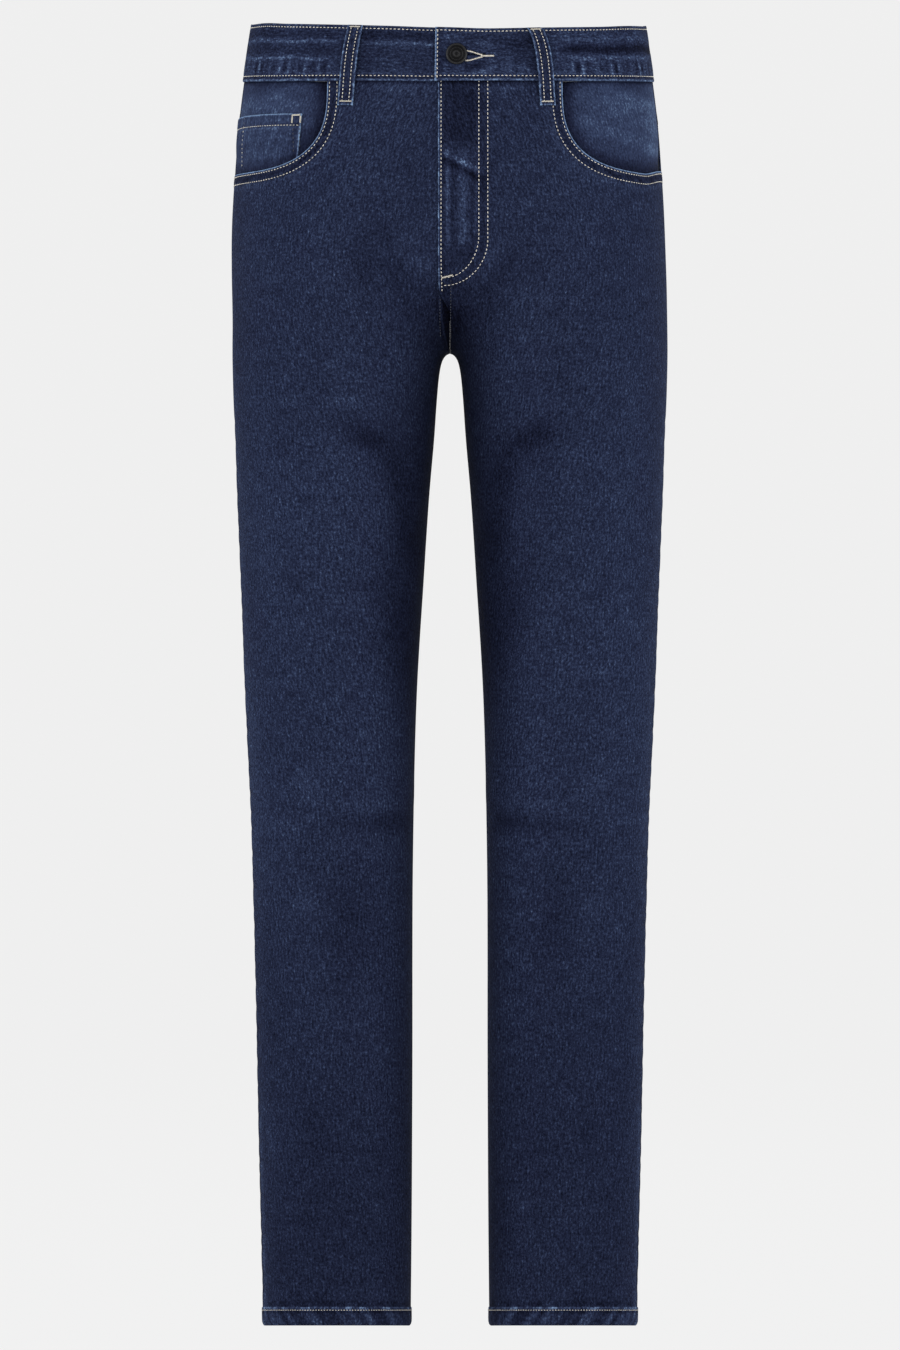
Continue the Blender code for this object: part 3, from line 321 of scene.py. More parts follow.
def smooth_read(xs, ys, x):
    """A smooth curve through the table's points, read at x."""
    order = np.argsort(xs)
    xs, ys = np.asarray(xs, float)[order], np.asarray(ys, float)[order]
    slopes = np.gradient(ys, xs)
    x = np.clip(x, xs[0], xs[-1])
    i = np.clip(np.searchsorted(xs, x) - 1, 0, len(xs) - 2)
    step = xs[i + 1] - xs[i]
    t = (x - xs[i]) / step
    return (
        ys[i] * (1 + 2 * t) * (1 - t) ** 2
        + slopes[i] * step * t * (1 - t) ** 2
        + ys[i + 1] * t * t * (3 - 2 * t)
        + slopes[i + 1] * step * t * t * (t - 1)
    )


def step_between(x, start, end):
    """0 at start, 1 at end, and an even S between them, whichever is larger."""
    t = np.clip((np.asarray(x, float) - start) / (end - start), 0.0, 1.0)
    return t * t * (3 - 2 * t)


def bump(x, middle, spread):
    """1 at the middle, falling away evenly on both sides."""
    return np.exp(-(((x - middle) / spread) ** 2))


FORM_TABLE = table(FORM_COLUMNS, FORM)
INSEAM_TABLE = table(INSEAM_COLUMNS, INSEAM)
LOOP_TABLE = table(("drop", "stand_off"), LOOP_PROFILE)
RISE_TABLE = table(RISE_COLUMNS, BAND_RISE)


def form(name, z):
    return smooth_read(FORM_TABLE["z"], FORM_TABLE[name], z)


def inseam(name, drop):
    return smooth_read(np.sqrt(INSEAM_TABLE["drop"]), INSEAM_TABLE[name], np.sqrt(drop))


def half_curve(half, z):
    """Section of one half at each height: x and y of its points, and the length up to each."""
    z = np.atleast_1d(np.asarray(z, float))[:, None]
    outer, peak, power = form("outer", z), form("peak", z), form("power", z)
    middle = (form("front", z) + form("back", z)) / 2
    depth = form(half, z) - middle
    risen = np.clip((z - CROTCH_Z) / RISE_HEIGHT[half], 0.0, 1.0)
    share = np.clip(np.sqrt(1 - (1 - risen) ** 2), 0.0, 1 - 1e-9)
    reach = np.maximum((1 - share**power) ** (1 / power), 1e-3)
    below = np.maximum(CROTCH_Z - z, 0.0)
    arch = inseam("arch", below)
    tightness = 1 + ARCH_TIGHTNESS * np.exp(-below / ARCH_OPENS)
    inner_axis = np.where(z > CROTCH_Z, peak / reach, peak - inseam("inner", below) + arch)
    start = np.where(z > CROTCH_Z, np.arccos(reach ** (power / 2)), 0.0)
    along = np.linspace(0.0, 1.0, ARC_POINTS)[None, :]
    t_in = start + (math.pi / 2 - start) * along
    t_out = math.pi / 2 * (1 - along[:, 1:])
    inwards = np.cos(t_in).clip(0) ** (2 / power)
    inner_x = peak - inner_axis * inwards + arch * inwards**tightness
    outer_x = peak + (outer - peak) * np.cos(t_out).clip(0) ** (2 / power)
    inner_y = middle + depth * np.sin(t_in).clip(0) ** (2 / power)
    outer_y = middle + depth * np.sin(t_out).clip(0) ** (2 / power)
    x = np.concatenate([inner_x, outer_x], axis=1)
    y = np.concatenate([inner_y, outer_y], axis=1)
    steps = np.hypot(np.diff(x, axis=1), np.diff(y, axis=1))
    length = np.concatenate([np.zeros((len(x), 1)), np.cumsum(steps, axis=1)], axis=1)
    return x, y, length


def run_on(grid, axis):
    """The grid with one more row or column run on straight at each end."""
    grid = np.moveaxis(grid, axis, 0)
    grid = np.concatenate([2 * grid[:1] - grid[1:2], grid, 2 * grid[-1:] - grid[-2:-1]])
    return np.moveaxis(grid, 0, axis)


def section_map(half, way):
    """x, y and length of one half's sections on even shares, above or below the crotch. The rows
    crowd towards the crotch."""
    span = MAP_TOP_Z - CROTCH_Z if way > 0 else CROTCH_Z - MAP_FOOT_Z
    z = CROTCH_Z + way * span * np.linspace(0.0, 1.0, MAP_ROWS) ** 2
    x, y, length = half_curve(half, z)
    shares = np.linspace(0.0, 1.0, MAP_COLUMNS)
    rows = []
    for i in range(MAP_ROWS):
        own = length[i] / length[i, -1]
        rows.append([np.interp(shares, own, x[i]), np.interp(shares, own, y[i])])
    points = np.moveaxis(np.array(rows), 1, 2)
    return run_on(run_on(points, 0), 1), run_on(length[:, -1], 0), span


MAPS = {(half, way): section_map(half, way) for half in (FRONT, BACK) for way in (1, -1)}


def cubic_weights(t):
    return np.stack(
        [
            ((-0.5 * t + 1.0) * t - 0.5) * t,
            (1.5 * t - 2.5) * t * t + 1.0,
            ((-1.5 * t + 2.0) * t + 0.5) * t,
            (0.5 * t - 0.5) * t * t,
        ]
    )


def cubic_place(x, count):
    """Index and weights for a smooth reading at x, counted in steps from the first row."""
    i = np.clip(np.floor(x).astype(int), 0, count - 2)
    return i, cubic_weights(x - i)


def level_place(z, span):
    return np.sqrt(np.clip(np.abs(z - CROTCH_Z) / span, 0.0, 1.0)) * (MAP_ROWS - 1)


def half_length(half, z):
    z = np.asarray(z, float)
    flat = np.ravel(z)
    total = np.zeros(len(flat))
    for way in (1, -1):
        own = (flat >= CROTCH_Z) == (way > 0)
        _, lengths, span = MAPS[half, way]
        i, weight = cubic_place(level_place(flat[own], span), MAP_ROWS)
        total[own] = sum(weight[k] * lengths[i + k] for k in range(4))
    return total.reshape(z.shape)


def form_point(half, f, z):
    """Points of the smooth form, on the left side. A negative f runs on past the centre line."""
    points = np.zeros((len(z), 2))
    for way in (1, -1):
        own = (z >= CROTCH_Z) == (way > 0)
        if not own.any():
            continue
        grid, _, span = MAPS[half, way]
        i, across = cubic_place(level_place(z[own], span), MAP_ROWS)
        j, along = cubic_place(np.abs(f[own]) * (MAP_COLUMNS - 1), MAP_COLUMNS)
        part = 0
        for a in range(4):
            for b in range(4):
                part = part + grid[i + a, j + b] * (across[a] * along[b])[:, None]
        points[own] = part
    return np.stack([np.where(f < 0, -points[:, 0], points[:, 0]), points[:, 1], z], axis=1)


def form_x(half, f, z):
    """The x of points of the smooth form, as a grid."""
    return form_point(half, np.ravel(f).astype(float), np.ravel(z))[:, 0].reshape(np.shape(f))


def share_at_x(half, x, z):
    """The share f of the point that lies at x, for heights above the crotch."""
    z = np.atleast_1d(np.asarray(z, float))
    xs, _, length = half_curve(half, z)
    x = np.broadcast_to(np.asarray(x, float), (len(xs),))
    return np.array([np.interp(x[i], xs[i], length[i]) / length[i, -1] for i in range(len(xs))])


def segment_falloff(gone, run, spread):
    """How strongly a crease of half width spread, which runs along run, is felt at points gone
    from its start."""
    t = np.clip(gone @ run / (run @ run), 0.0, 1.0)
    off = gone - run * t[:, None]
    away = np.hypot(off[:, 0], off[:, 1]) / spread
    return np.sin(math.pi * (t * 0.86 + 0.07)) * np.exp(-(away**2) * 1.4)


def fold_rise(half, f, z):
    """How far the largest folds move the cloth out of the smooth form."""
    total = np.zeros(len(z))
    from_outseam = (1 - f) * half_length(half, z)
    for fold_half, f0, z0, f1, z1, spread, rise in FOLDS:
        if fold_half != half:
            continue
        d0 = (1 - f0) * half_length(half, z0)
        d1 = (1 - f1) * half_length(half, z1)
        run = np.array([d1 - d0, z1 - z0])
        gone = np.stack([from_outseam - d0, z - z0], axis=1)
        total += rise * segment_falloff(gone, run, spread)
    return total


def outward(half, f, z):
    """Unit normals of the form. The way up is taken at one distance from the outseam, or past the
    centre line at one distance from that, because the shares shift where the crotch opens."""
    above = z >= CROTCH_Z
    near_f, near_z = 0.004, 0.4
    f_low = np.where(above, f - near_f, np.maximum(f - near_f, 0.0))
    across = form_point(half, np.minimum(f + near_f, 1.0), z) - form_point(half, f_low, z)
    z_low = np.where(above, np.maximum(z - near_z, CROTCH_Z), z - near_z)
    z_high = np.where(above, z + near_z, np.minimum(z + near_z, CROTCH_Z - 0.01))
    length = half_length(half, z)
    ends = []
    for level in (z_high, z_low):
        here = half_length(half, level)
        from_outseam = np.maximum(1 - (1 - f) * length / here, 0.0)
        ends.append(form_point(half, np.where(f < 0, f * length / here, from_outseam), level))
    normal = np.cross(across, ends[0] - ends[1])
    if half == BACK:
        normal = -normal
    return normal / np.linalg.norm(normal, axis=1)[:, None]


def hip_lean(points):
    """How far the hips lean sideways at the points."""
    over = step_between(points[:, 2], HIP_LEAN_ENDS_Z, HIP_LEAN_FULL_Z)
    return -HIP_LEAN * over * (points[:, 0] / HIP_LEAN_REACH) ** 2


def cloth_frame(side, half, f, z):
    """Points of the folded form and their normals, as grids."""
    shape = np.shape(f)
    f, z = np.ravel(f).astype(float), np.ravel(np.broadcast_to(z, shape)).astype(float)
    normal = outward(half, f, z)
    points = form_point(half, f, z) + normal * fold_rise(half, f, z)[:, None]
    mirror = np.array([side, 1.0, 1.0])
    points = points * mirror
    points[:, 0] += hip_lean(points)
    return points.reshape(*shape, 3), (normal * mirror).reshape(*shape, 3)


def moved(points, normals, offset):
    return points + normals * np.asarray(offset)[..., None]


def waist_z(half, f):
    """Height of the waistband's top edge: level from side to side, lower at the front."""
    f = np.asarray(f, float)
    here = form_point(half, f.ravel(), np.zeros(f.size))[:, 1].reshape(f.shape)
    middle = (form("front", 0.0) + form("back", 0.0)) / 2
    tilt = WAIST_TILT_FRONT if half == FRONT else WAIST_TILT_BACK
    return tilt * (here - middle)


def band_dip(half, f):
    """How much higher the waistband is here than at the centre seam."""
    return SIDE_DIP * (1 - waist_z(half, f) / waist_z(half, 0.0))


def band_rise(side, half, f):
    """How far the waistband's top edge stands above its level here."""
    x = side * form_x(half, f, np.zeros(np.shape(f)))
    places, rises = RISE_TABLE["x"], RISE_TABLE["rise"]
    if half == BACK:
        return np.interp(x, places[[0, -1]], rises[[0, -1]])
    return smooth_read(places, rises, x)


def band_z(side, half, f, drop):
    """Height of the waistband's cloth at a drop below its top edge."""
    rise = band_rise(side, half, f)
    return waist_z(half, f) + rise - drop * (1 + (band_dip(half, f) + rise) / BAND_HEIGHT)


def with_waist_tilt(half, f, level):
    """Real height of a level that follows the waistband near the top and is flat lower down."""
    tilt = waist_z(half, f) - band_dip(half, f)
    return level + tilt * (1 - step_between(level, -BAND_HEIGHT, TILT_ENDS_Z))


def below_band(half, f, z):
    """Distance below the waistband's lower edge."""
    return with_waist_tilt(half, f, -BAND_HEIGHT) - z


def hem_rise(f):
    """How far the front's hem rises towards the front of the leg."""
    f = np.asarray(f, float)
    here = form_point(FRONT, f.ravel(), np.full(f.size, HEM_Z))[:, 1].reshape(f.shape)
    outseam = (form("front", HEM_Z) + form("back", HEM_Z)) / 2
    return HEM_TILT * (outseam - here)


def with_hem_tilt(f, z):
    """Real height of the front's levels near its hem."""
    return z + hem_rise(f) * step_between(z, HEM_TILT_ENDS_Z, HEM_TILT_FULL_Z)


def fly_edge_x(z):
    return FLY_EDGE_X * (1 - step_between(z, FLY_EDGE_ENDS_Z, FLY_EDGE_CENTRED_Z))


def fly_outline(z):
    """Distance of the fly's J-shaped outline from the centre line."""
    down = np.clip((FLY_CURVE_Z - z) / (FLY_CURVE_Z - FLY_BOTTOM_Z), 0.0, 1.0)
    return FLY_EDGE_X + (FLY_WIDTH_X - FLY_EDGE_X) * np.sqrt(1 - down**2)


def fly_lift(s, z):
    """How far the left front stands out over the fly."""
    outline = fly_outline(z)
    inside = 1 - step_between(s, outline - FLY_FADE / 2, outline + FLY_FADE)
    strip = 1 - step_between(s, 2.0, 2.0 + FLY_FADE)
    ends = 1 - step_between(z, FLY_EDGE_CENTRED_Z, FLY_RELIEF_ENDS_Z)
    return FLY_LIFT * np.maximum(inside, strip) * ends


def fly_sink(s, z):
    """How far the right front is pressed in beside the centre line."""
    ends = 1 - step_between(z, FLY_EDGE_CENTRED_Z, FLY_RELIEF_ENDS_Z)
    return FLY_SINK * step_between(s, SINK_FROM, SINK_TO) * ends


def mouth_drop(side, x):
    """Level of the pocket mouth at x."""
    side_x = form("outer", MOUTH_SIDE_Z[side])
    top, foot = -BAND_HEIGHT - SEAM_GAP, MOUTH_SIDE_Z[side]
    share = np.clip((side_x - x) / (side_x - MOUTH_TOP_X[side]), 0.0, 1.0)
    power = MOUTH_POWER[side]
    up = MOUTH_TURN_UP[side] * (1 - step_between(share, 0.0, MOUTH_TURN_UP_SHARE))
    return top + (foot - top) * (1 - share**power) ** (1 / power) + up


def mouth_z(side, f):
    """Level of the pocket mouth at shares of the front."""
    z = np.full(np.shape(f), -100.0)
    for _ in range(6):
        z = mouth_drop(side, form_x(FRONT, f, z))
    return z


# Grids of the shells

EDGE_STEPS = (0.0, 0.35, 0.8, 1.4, 2.1, 3.0, 4.2, 5.6, 7.2, 9.0)
FINE_STEP = 2.7
MOUTH_STEPS = 17
MOUTH_TURN = 0.64
CROTCH_ROW_GROWTH = 0.36
CROWD_SPAN = 26.0
INNER_SPREAD_ENDS = 220.0
EVEN_FROM_Z, EVEN_TO_Z = -218.5, -336.5


def from_edge(length, step=FINE_STEP, first=True, last=True):
    """Stations from 0 to length, close together at the edges that are asked for."""
    edge = np.array(EDGE_STEPS)
    start = edge if first else edge[:1]
    end = length - edge[::-1] if last else np.array([length])
    count = max(2, int(math.ceil((end[0] - start[-1]) / step)) + 1)
    return np.concatenate([start[:-1], np.linspace(start[-1], end[0], count), end[1:]])


def crotch_drops():
    """Distances of rows from the crotch, growing evenly to the usual step."""
    drops, k = [0.0], 1
    while drops[-1] < CROWD_SPAN:
        drops.append(CROTCH_ROW_GROWTH * k * k)
        k += 1
    return np.array(drops)


def leg_levels(torso_top):
    """Heights of a panel's rows below torso_top: close at the crotch and at the hem."""
    near = crotch_drops()
    above = np.linspace(torso_top, CROTCH_Z + near[-1], int((torso_top - CROTCH_Z) / FINE_STEP))
    up = CROTCH_Z + near[::-1][1:]
    down = CROTCH_Z - near[1:]
    fold = HEM_Z + HEM_HEIGHT
    count = int((down[-1] - fold) / FINE_STEP)
    leg = np.linspace(down[-1], fold + 1.2, count)[1:]
    hem = [fold + 0.5, fold - 0.2, fold - 0.9, *np.linspace(fold - 1.8, HEM_Z + 1.6, 7)]
    hem += [HEM_Z + 0.9, HEM_Z + 0.35, HEM_Z]
    return np.concatenate([above, up, down, leg, hem])


def even_levels(levels):
    """Heights of the rows away from the crotch, where they are evenly spaced."""
    inside = (levels < EVEN_FROM_Z) & (levels > EVEN_TO_Z)
    count = inside.sum()
    even = levels.copy()
    even[inside] = EVEN_FROM_Z + (EVEN_TO_Z - EVEN_FROM_Z) * np.arange(1, count + 1) / (count + 1)
    return even


def spaced_rows(half, levels, start, stations):
    """Shares and heights of rows that begin start mm from the centre seam or inseam. stations run
    from 0 to 1 across the row."""
    hip_length = half_length(half, CROTCH_Z + RISE_HEIGHT[half])
    length = half_length(half, levels)
    kept = np.minimum(hip_length / length, 1.0)
    kept_below = hip_length / half_length(half, CROTCH_Z)
    settled = step_between(levels, CROTCH_Z, CROTCH_Z - INNER_SPREAD_ENDS)
    kept = np.where(levels < CROTCH_Z, kept_below + (1 - kept_below) * settled, kept)
    back = 1 - stations[None, :]
    spread = kept[:, None] * back + (1 - kept[:, None]) * back**2
    reach = (length - start - SEAM_GAP / 2)[:, None]
    from_outseam = SEAM_GAP / 2 + reach * spread
    inwards = step_between(back, 0.45, 1.0)
    even = even_levels(levels)[:, None]
    z = even + (levels[:, None] - even) * inwards
    return 1 - from_outseam / half_length(half, z), z


def mouth_columns(side):
    """Shares and levels of the pocket mouth's columns, from its top to the outseam."""
    side_x = form("outer", MOUTH_SIDE_Z[side])
    down = np.linspace(0.0, MOUTH_TURN, MOUTH_STEPS)
    power = MOUTH_POWER[side]
    x = side_x - (side_x - MOUTH_TOP_X[side]) * (1 - down**power) ** (1 / power)
    level = mouth_drop(side, x)
    crowd = share_at_x(FRONT, x, level)
    length = half_length(FRONT, MOUTH_SIDE_Z[side])
    outer = crowd[-1] + from_edge((1 - crowd[-1]) * length - SEAM_GAP / 2, first=False) / length
    shares = np.concatenate([crowd, outer[1:]])
    return shares, np.concatenate([level, mouth_z(side, outer[1:])])


def front_grid(side):
    """Shares and heights of the front shell's rows and columns."""
    fixed, mouth = mouth_columns(side)
    top_line = -BAND_HEIGHT - SEAM_GAP
    first_row = -142.0
    lap = np.array(EDGE_STEPS)
    centre_count = 24

    def edge_at(level):
        return fly_edge_x(level) if side == LEFT else np.zeros(np.shape(level))

    def top_shares(level):
        length = half_length(FRONT, level)
        near = (edge_at(level) + SEAM_GAP / 2 + lap) / length
        between = np.linspace(near[-1], fixed[0], centre_count)
        return np.concatenate([near[:-1], between[:-1], fixed])

    top = np.concatenate([np.full(len(lap) + centre_count - 2, top_line), mouth])
    near_mouth = np.array(EDGE_STEPS) / 100
    down = np.concatenate([near_mouth[:-1], np.linspace(near_mouth[-1], 1.0, 36)[:-1]])
    stations = leg_stations(len(top) - len(lap))

    def plain_rows(levels):
        start = edge_at(levels) + SEAM_GAP / 2
        plain, z = spaced_rows(FRONT, levels, start + lap[-1], stations)
        strip = (start[:, None] + lap[None, :-1]) / half_length(FRONT, levels)[:, None]
        z = np.concatenate([np.repeat(z[:, :1], len(lap) - 1, axis=1), z], axis=1)
        return np.concatenate([strip, plain], axis=1), z

    upper = top_line * (1 - down) + first_row * down
    spread = (1 - (1 - down) ** 2)[:, None]
    shares = np.array([top_shares(level) for level in upper]) * (1 - spread)
    shares = shares + plain_rows(upper)[0] * spread
    heights = top[None, :] * (1 - down[:, None]) + first_row * down[:, None]
    f, z = plain_rows(leg_levels(first_row))
    f, z = np.concatenate([shares, f]), np.concatenate([heights, z])
    return f, with_hem_tilt(f, with_waist_tilt(FRONT, f, z))


def leg_stations(count):
    """count + 1 stations from 0 to 1, close together at the outseam end."""
    typical = 165.0
    edge = np.array(EDGE_STEPS)[::-1] / typical
    even = np.linspace(0.0, 1 - edge[0], count + 2 - len(edge))
    return np.concatenate([even[:-1], 1 - edge])


def yoke_z(f):
    return YOKE_CENTRE_Z + (YOKE_SIDE_Z - YOKE_CENTRE_Z) * np.asarray(f, float).clip(0) ** 0.9


def back_grid():
    """Shares and heights of the back shell's rows and columns."""
    top = (YOKE_CENTRE_Z + YOKE_SIDE_Z) / 2
    levels = np.concatenate([top - np.array(EDGE_STEPS)[:-1], leg_levels(top - EDGE_STEPS[-1])])
    stations = from_edge(175.0) / 175.0
    f, z = spaced_rows(BACK, levels, SEAM_GAP / 2, stations)
    tilt = 1 - step_between(levels, top, YOKE_TILT_ENDS_Z)
    z = z + (yoke_z(f) - top - SEAM_GAP / 2) * tilt[:, None]
    return f, z


def yoke_grid():
    length = half_length(BACK, YOKE_SIDE_Z)
    gap = SEAM_GAP / 2 / length
    across = gap + (1 - 2 * gap) * (from_edge(length) / length)
    down = from_edge(58.0) / 58.0
    f = np.repeat(across[None, :], len(down), axis=0)
    upper = with_waist_tilt(BACK, f, -BAND_HEIGHT) - SEAM_GAP
    lower = yoke_z(f) + SEAM_GAP / 2
    return f, upper + (lower - upper) * down[:, None]


def facing_grid(side):
    top, foot = -BAND_HEIGHT - SEAM_GAP, MOUTH_SIDE_Z[side] - FACING_UNDER
    levels = np.linspace(top, foot, 52)
    start = share_at_x(FRONT, MOUTH_TOP_X[side] - FACING_UNDER, levels)[:, None]
    end = 1 - SEAM_GAP / 2 / half_length(FRONT, levels)[:, None]
    stations = from_edge(130.0, first=False) / 130.0
    f = start + (end - start) * stations[None, :]
    return f, with_waist_tilt(FRONT, f, levels[:, None])


def facing_offset(side, f, z):
    """The facing lies under the front panel's edge and fills out to the hip in the open part."""
    top_share = share_at_x(FRONT, MOUTH_TOP_X[side], -BAND_HEIGHT)
    inwards = (f - top_share) * half_length(FRONT, -BAND_HEIGHT)
    above = z - mouth_z(side, f)
    filled = step_between(above, 2, FACING_FILL) * step_between(inwards, 3, FACING_FILL)
    return -WALL - LAP_GAP + (WALL + LAP_GAP - FACING_SUNK) * filled


# Relief of the cloth


def waves(u, seed, spans):
    """An uneven wave along u, between about -1 and 1, made of waves of the given spans."""
    rng = np.random.default_rng(seed)
    total = np.zeros(np.shape(u))
    for span in spans:
        total = total + np.sin(2 * math.pi * (u / span + rng.random()))
    return total / len(spans)


def crease_fields(f, z):
    """Rise and tone of the front's creases at the points, by where they lie in the front view. The
    tone is painted shade in the troughs and painted highlight on the ridges.
    """
    x = form_x(FRONT, f, z)
    rise, tone = np.zeros(x.size), np.zeros(x.size)
    place = np.stack([x.ravel(), np.ravel(z)], axis=1)
    for x0, z0, x1, z1, spread, height, lighter in LEG_CREASES:
        felt = segment_falloff(place - (x0, z0), np.array([x1 - x0, z1 - z0]), spread)
        rise += height * felt
        tone += lighter * felt
    return rise.reshape(x.shape), tone.reshape(x.shape)


PUCKERS_FROM_Z = -326.0
PUCKER_SEED = 11
PUCKER_STEPS = (10.0, 22.0)
PUCKER_REACH = 30.0
# Puckers of the outseam: how deep they dent the cloth, and how much painted shade darkens the
# pinches, with painted light between them
PUCKER_DEPTH, PUCKER_PAINTED_SHADE = 0.32, 0.09


def pucker_places():
    """Heights, half heights and strengths of the puckers down the outseam."""
    rng = np.random.default_rng(PUCKER_SEED)
    z, found = PUCKERS_FROM_Z, []
    while z > HEM_Z + 24:
        found.append((z, rng.uniform(2.6, 5.0), rng.uniform(0.5, 1.0)))
        z -= rng.uniform(*PUCKER_STEPS)
    return found


PUCKERS = pucker_places()


def seam_puckers(from_seam, z):
    """Strength of the outseam's puckers: 1 in the middle of a pinch, about -0.4 between two."""
    beside = 1 - step_between(from_seam, PUCKER_REACH * 0.45, PUCKER_REACH)
    along = -0.4 * (1 - step_between(z, PUCKERS_FROM_Z - 12, PUCKERS_FROM_Z + 40))
    along = np.broadcast_to(along, np.shape(z)).copy()
    lean = z - 0.10 * from_seam
    for middle, spread, strength in PUCKERS:
        along += strength * 1.4 * bump(lean, middle, spread)
    return along * beside


def outline_rounding(distance):
    """How far a folded or cut edge is rounded inwards at a distance from it."""
    return -0.45 * np.exp(-((distance / 0.55) ** 2))


def mouth_distance(side, f, z):
    """Distance of points from the pocket mouth, measured on the cloth."""
    shares, tilt_z = mouth_line(side)
    fine = np.linspace(0, len(shares) - 1, 500)
    steps = np.arange(len(shares))
    line_f, line_z = np.interp(fine, steps, shares), np.interp(fine, steps, tilt_z)
    line = np.stack([line_f * half_length(FRONT, line_z), line_z], axis=1)
    place = np.stack([np.ravel(f * half_length(FRONT, z)), np.ravel(z)], axis=1)
    nearest = np.full(len(place), 99.0)
    close = place[:, 1] > MOUTH_SIDE_Z[side] - 30
    gaps = place[close][:, None, :] - line[None, :, :]
    nearest[close] = np.sqrt((gaps**2).sum(axis=2).min(axis=1))
    return nearest.reshape(np.shape(f))


def ditch(distance, rows, width=1.1, depth=0.28):
    """The furrows that rows of stitches pull into the cloth."""
    return -depth * sum(bump(distance, row, width) for row in rows)


def hem_fields(f_length, z):
    """Rise and tone of the turned-up hem, whose layers twist against each other as ropes do. Its tone
    is lighter where the twist stands out and darker where it sinks: painted light and shade, and
    roping wear. It has a painted highlight on the fold, a painted shadow above it and painted shade
    along the row of stitches.
    """
    fold = HEM_Z + HEM_HEIGHT
    inside = 1 - step_between(z, fold - 0.3, fold + 0.4)
    lean = f_length + (z - HEM_Z) * 0.7
    rope = waves(lean, 21, (11.0, 17.0, 23.0, 37.0))
    blocks = np.tanh(3.2 * rope)
    height = np.clip((z - HEM_Z) / HEM_HEIGHT, 0.0, 1.0)
    rise = inside * (HEM_OUT + 0.3 * rope * np.sin(math.pi * height))
    rolled = np.clip(1 - (z - HEM_Z) / HEM_ROLL, 0.0, 1.0)
    rise = rise - HEM_ROLLED_IN * (1 - np.sqrt(1 - 0.98 * rolled**2))
    shadow = bump(z, fold + 2.6, 2.2) * (0.8 + 0.7 * waves(f_length, 22, (17.0, 29.0)))
    tone = inside * (0.05 + 0.12 * blocks) + 0.26 * bump(z, fold - 0.3, 0.9) - 0.13 * shadow
    return rise, tone - 0.14 * bump(z, HEM_Z + HEM_ROW - 1.6, 1.0)


def under_band(half, f, z):
    """Tone of the cloth just below the waistband: its painted shadow, a painted lit strip below that,
    and the painted light and shade of the seam's gathers.
    """
    below = below_band(half, f, z)
    gathers = waves(f * half_length(half, z), 51, (6.3, 9.7, 14.9))
    lit = 0.5 + 0.5 * waves(f * half_length(half, z), 53, (41.0, 67.0))
    shade = -0.22 * bump(below, 0.0, 1.9) + 0.10 * lit * bump(below, 5.5, 3.0)
    return shade + 0.09 * gathers * bump(below, 6.0, 6.0)


def side_painted_light(from_outseam, z):
    """Painted light beside the outseam: bluer and lighter where the leg's side turns away, and low on
    the leg a painted highlight on the pressed edge, with painted shade right at the seam.
    """
    turned = 0.03 * bump(from_outseam, 26.0, 16.0) * step_between(z, -140.0, -300.0)
    low = step_between(z, -850.0, -930.0)
    pressed = 0.13 * bump(from_outseam, 18.0, 5.0) - 0.09 * bump(from_outseam, 4.0, 7.0)
    return turned + low * pressed


def front_offset(side, f, z):
    """Rise above the folded form, and tone, of the front shell's outer face."""
    length = half_length(FRONT, z)
    s, from_outseam = f * length, (1 - f) * length
    rise, tone = crease_fields(f, z)
    rise += fly_lift(s, z) if side == LEFT else -fly_sink(s, z)
    hem_out, hem_tone = hem_fields(from_outseam, z - hem_rise(f))
    rise += hem_out
    tone += hem_tone
    pinch = seam_puckers(from_outseam, z)
    rise -= PUCKER_DEPTH * pinch
    # Painted light and shade beside the outseam, and painted shade on its puckers
    tone += side_painted_light(from_outseam, z) - PUCKER_PAINTED_SHADE * pinch
    tone += under_band(FRONT, f, z)
    mouth = mouth_distance(side, f, z)
    rise += 0.35 * (1 - step_between(mouth, 8.5, 11.0))
    rise += ditch(mouth, (EDGE_ROW, SECOND_ROW)) + outline_rounding(mouth)
    # Painted highlight along the mouth's folded edge, painted shade along its rows, a painted light
    # line beyond them, and the painted light and shade of small pulls beside it
    pulls = waves(form_x(FRONT, f, z) * 0.8 + z, 61, (5.1, 7.7, 12.3))
    tone += 0.50 * bump(mouth, 0.3, 0.8) - 0.13 * bump(mouth, 5.2, 3.4)
    tone += 0.06 * bump(mouth, 12.2, 2.4) + 0.12 * pulls * bump(mouth, 7.5, 4.0)
    if side == LEFT:
        edge = s - fly_edge_x(z)
        row_ends = 1 - step_between(z, FLY_EDGE_ENDS_Z, FLY_EDGE_ENDS_Z - 8)
        rise += (outline_rounding(edge) + ditch(edge, (FLY_ROW,))) * row_ends
        # Painted highlight along the fly's edge and painted shade along its row
        uneven = 0.75 + 0.45 * waves(z, 63, (9.0, 15.0, 27.0))
        tone += (0.42 * uneven * bump(edge, 0.4, 0.8) - 0.10 * bump(edge, 4.0, 2.2)) * row_ends
        tone += fly_tone(s, z)
        tone -= 0.12 * bump(s, 9.0, 9.0) * bump(z, -249.0, 13.0)
        tone -= 0.20 * bump(s, -0.5, 2.4) * step_between(z, -228.0, -236.0)
    else:
        low = step_between(z, -224.0, -232.0)
        tone -= 0.26 * bump(s, 3.6, 5.2) * low
        # Painted highlight along the edge of the seam's lap, with painted shade beside it
        tone += (0.26 * bump(s, 9.2, 0.8) - 0.12 * bump(s, 11.6, 2.4)) * low
    return rise, tone


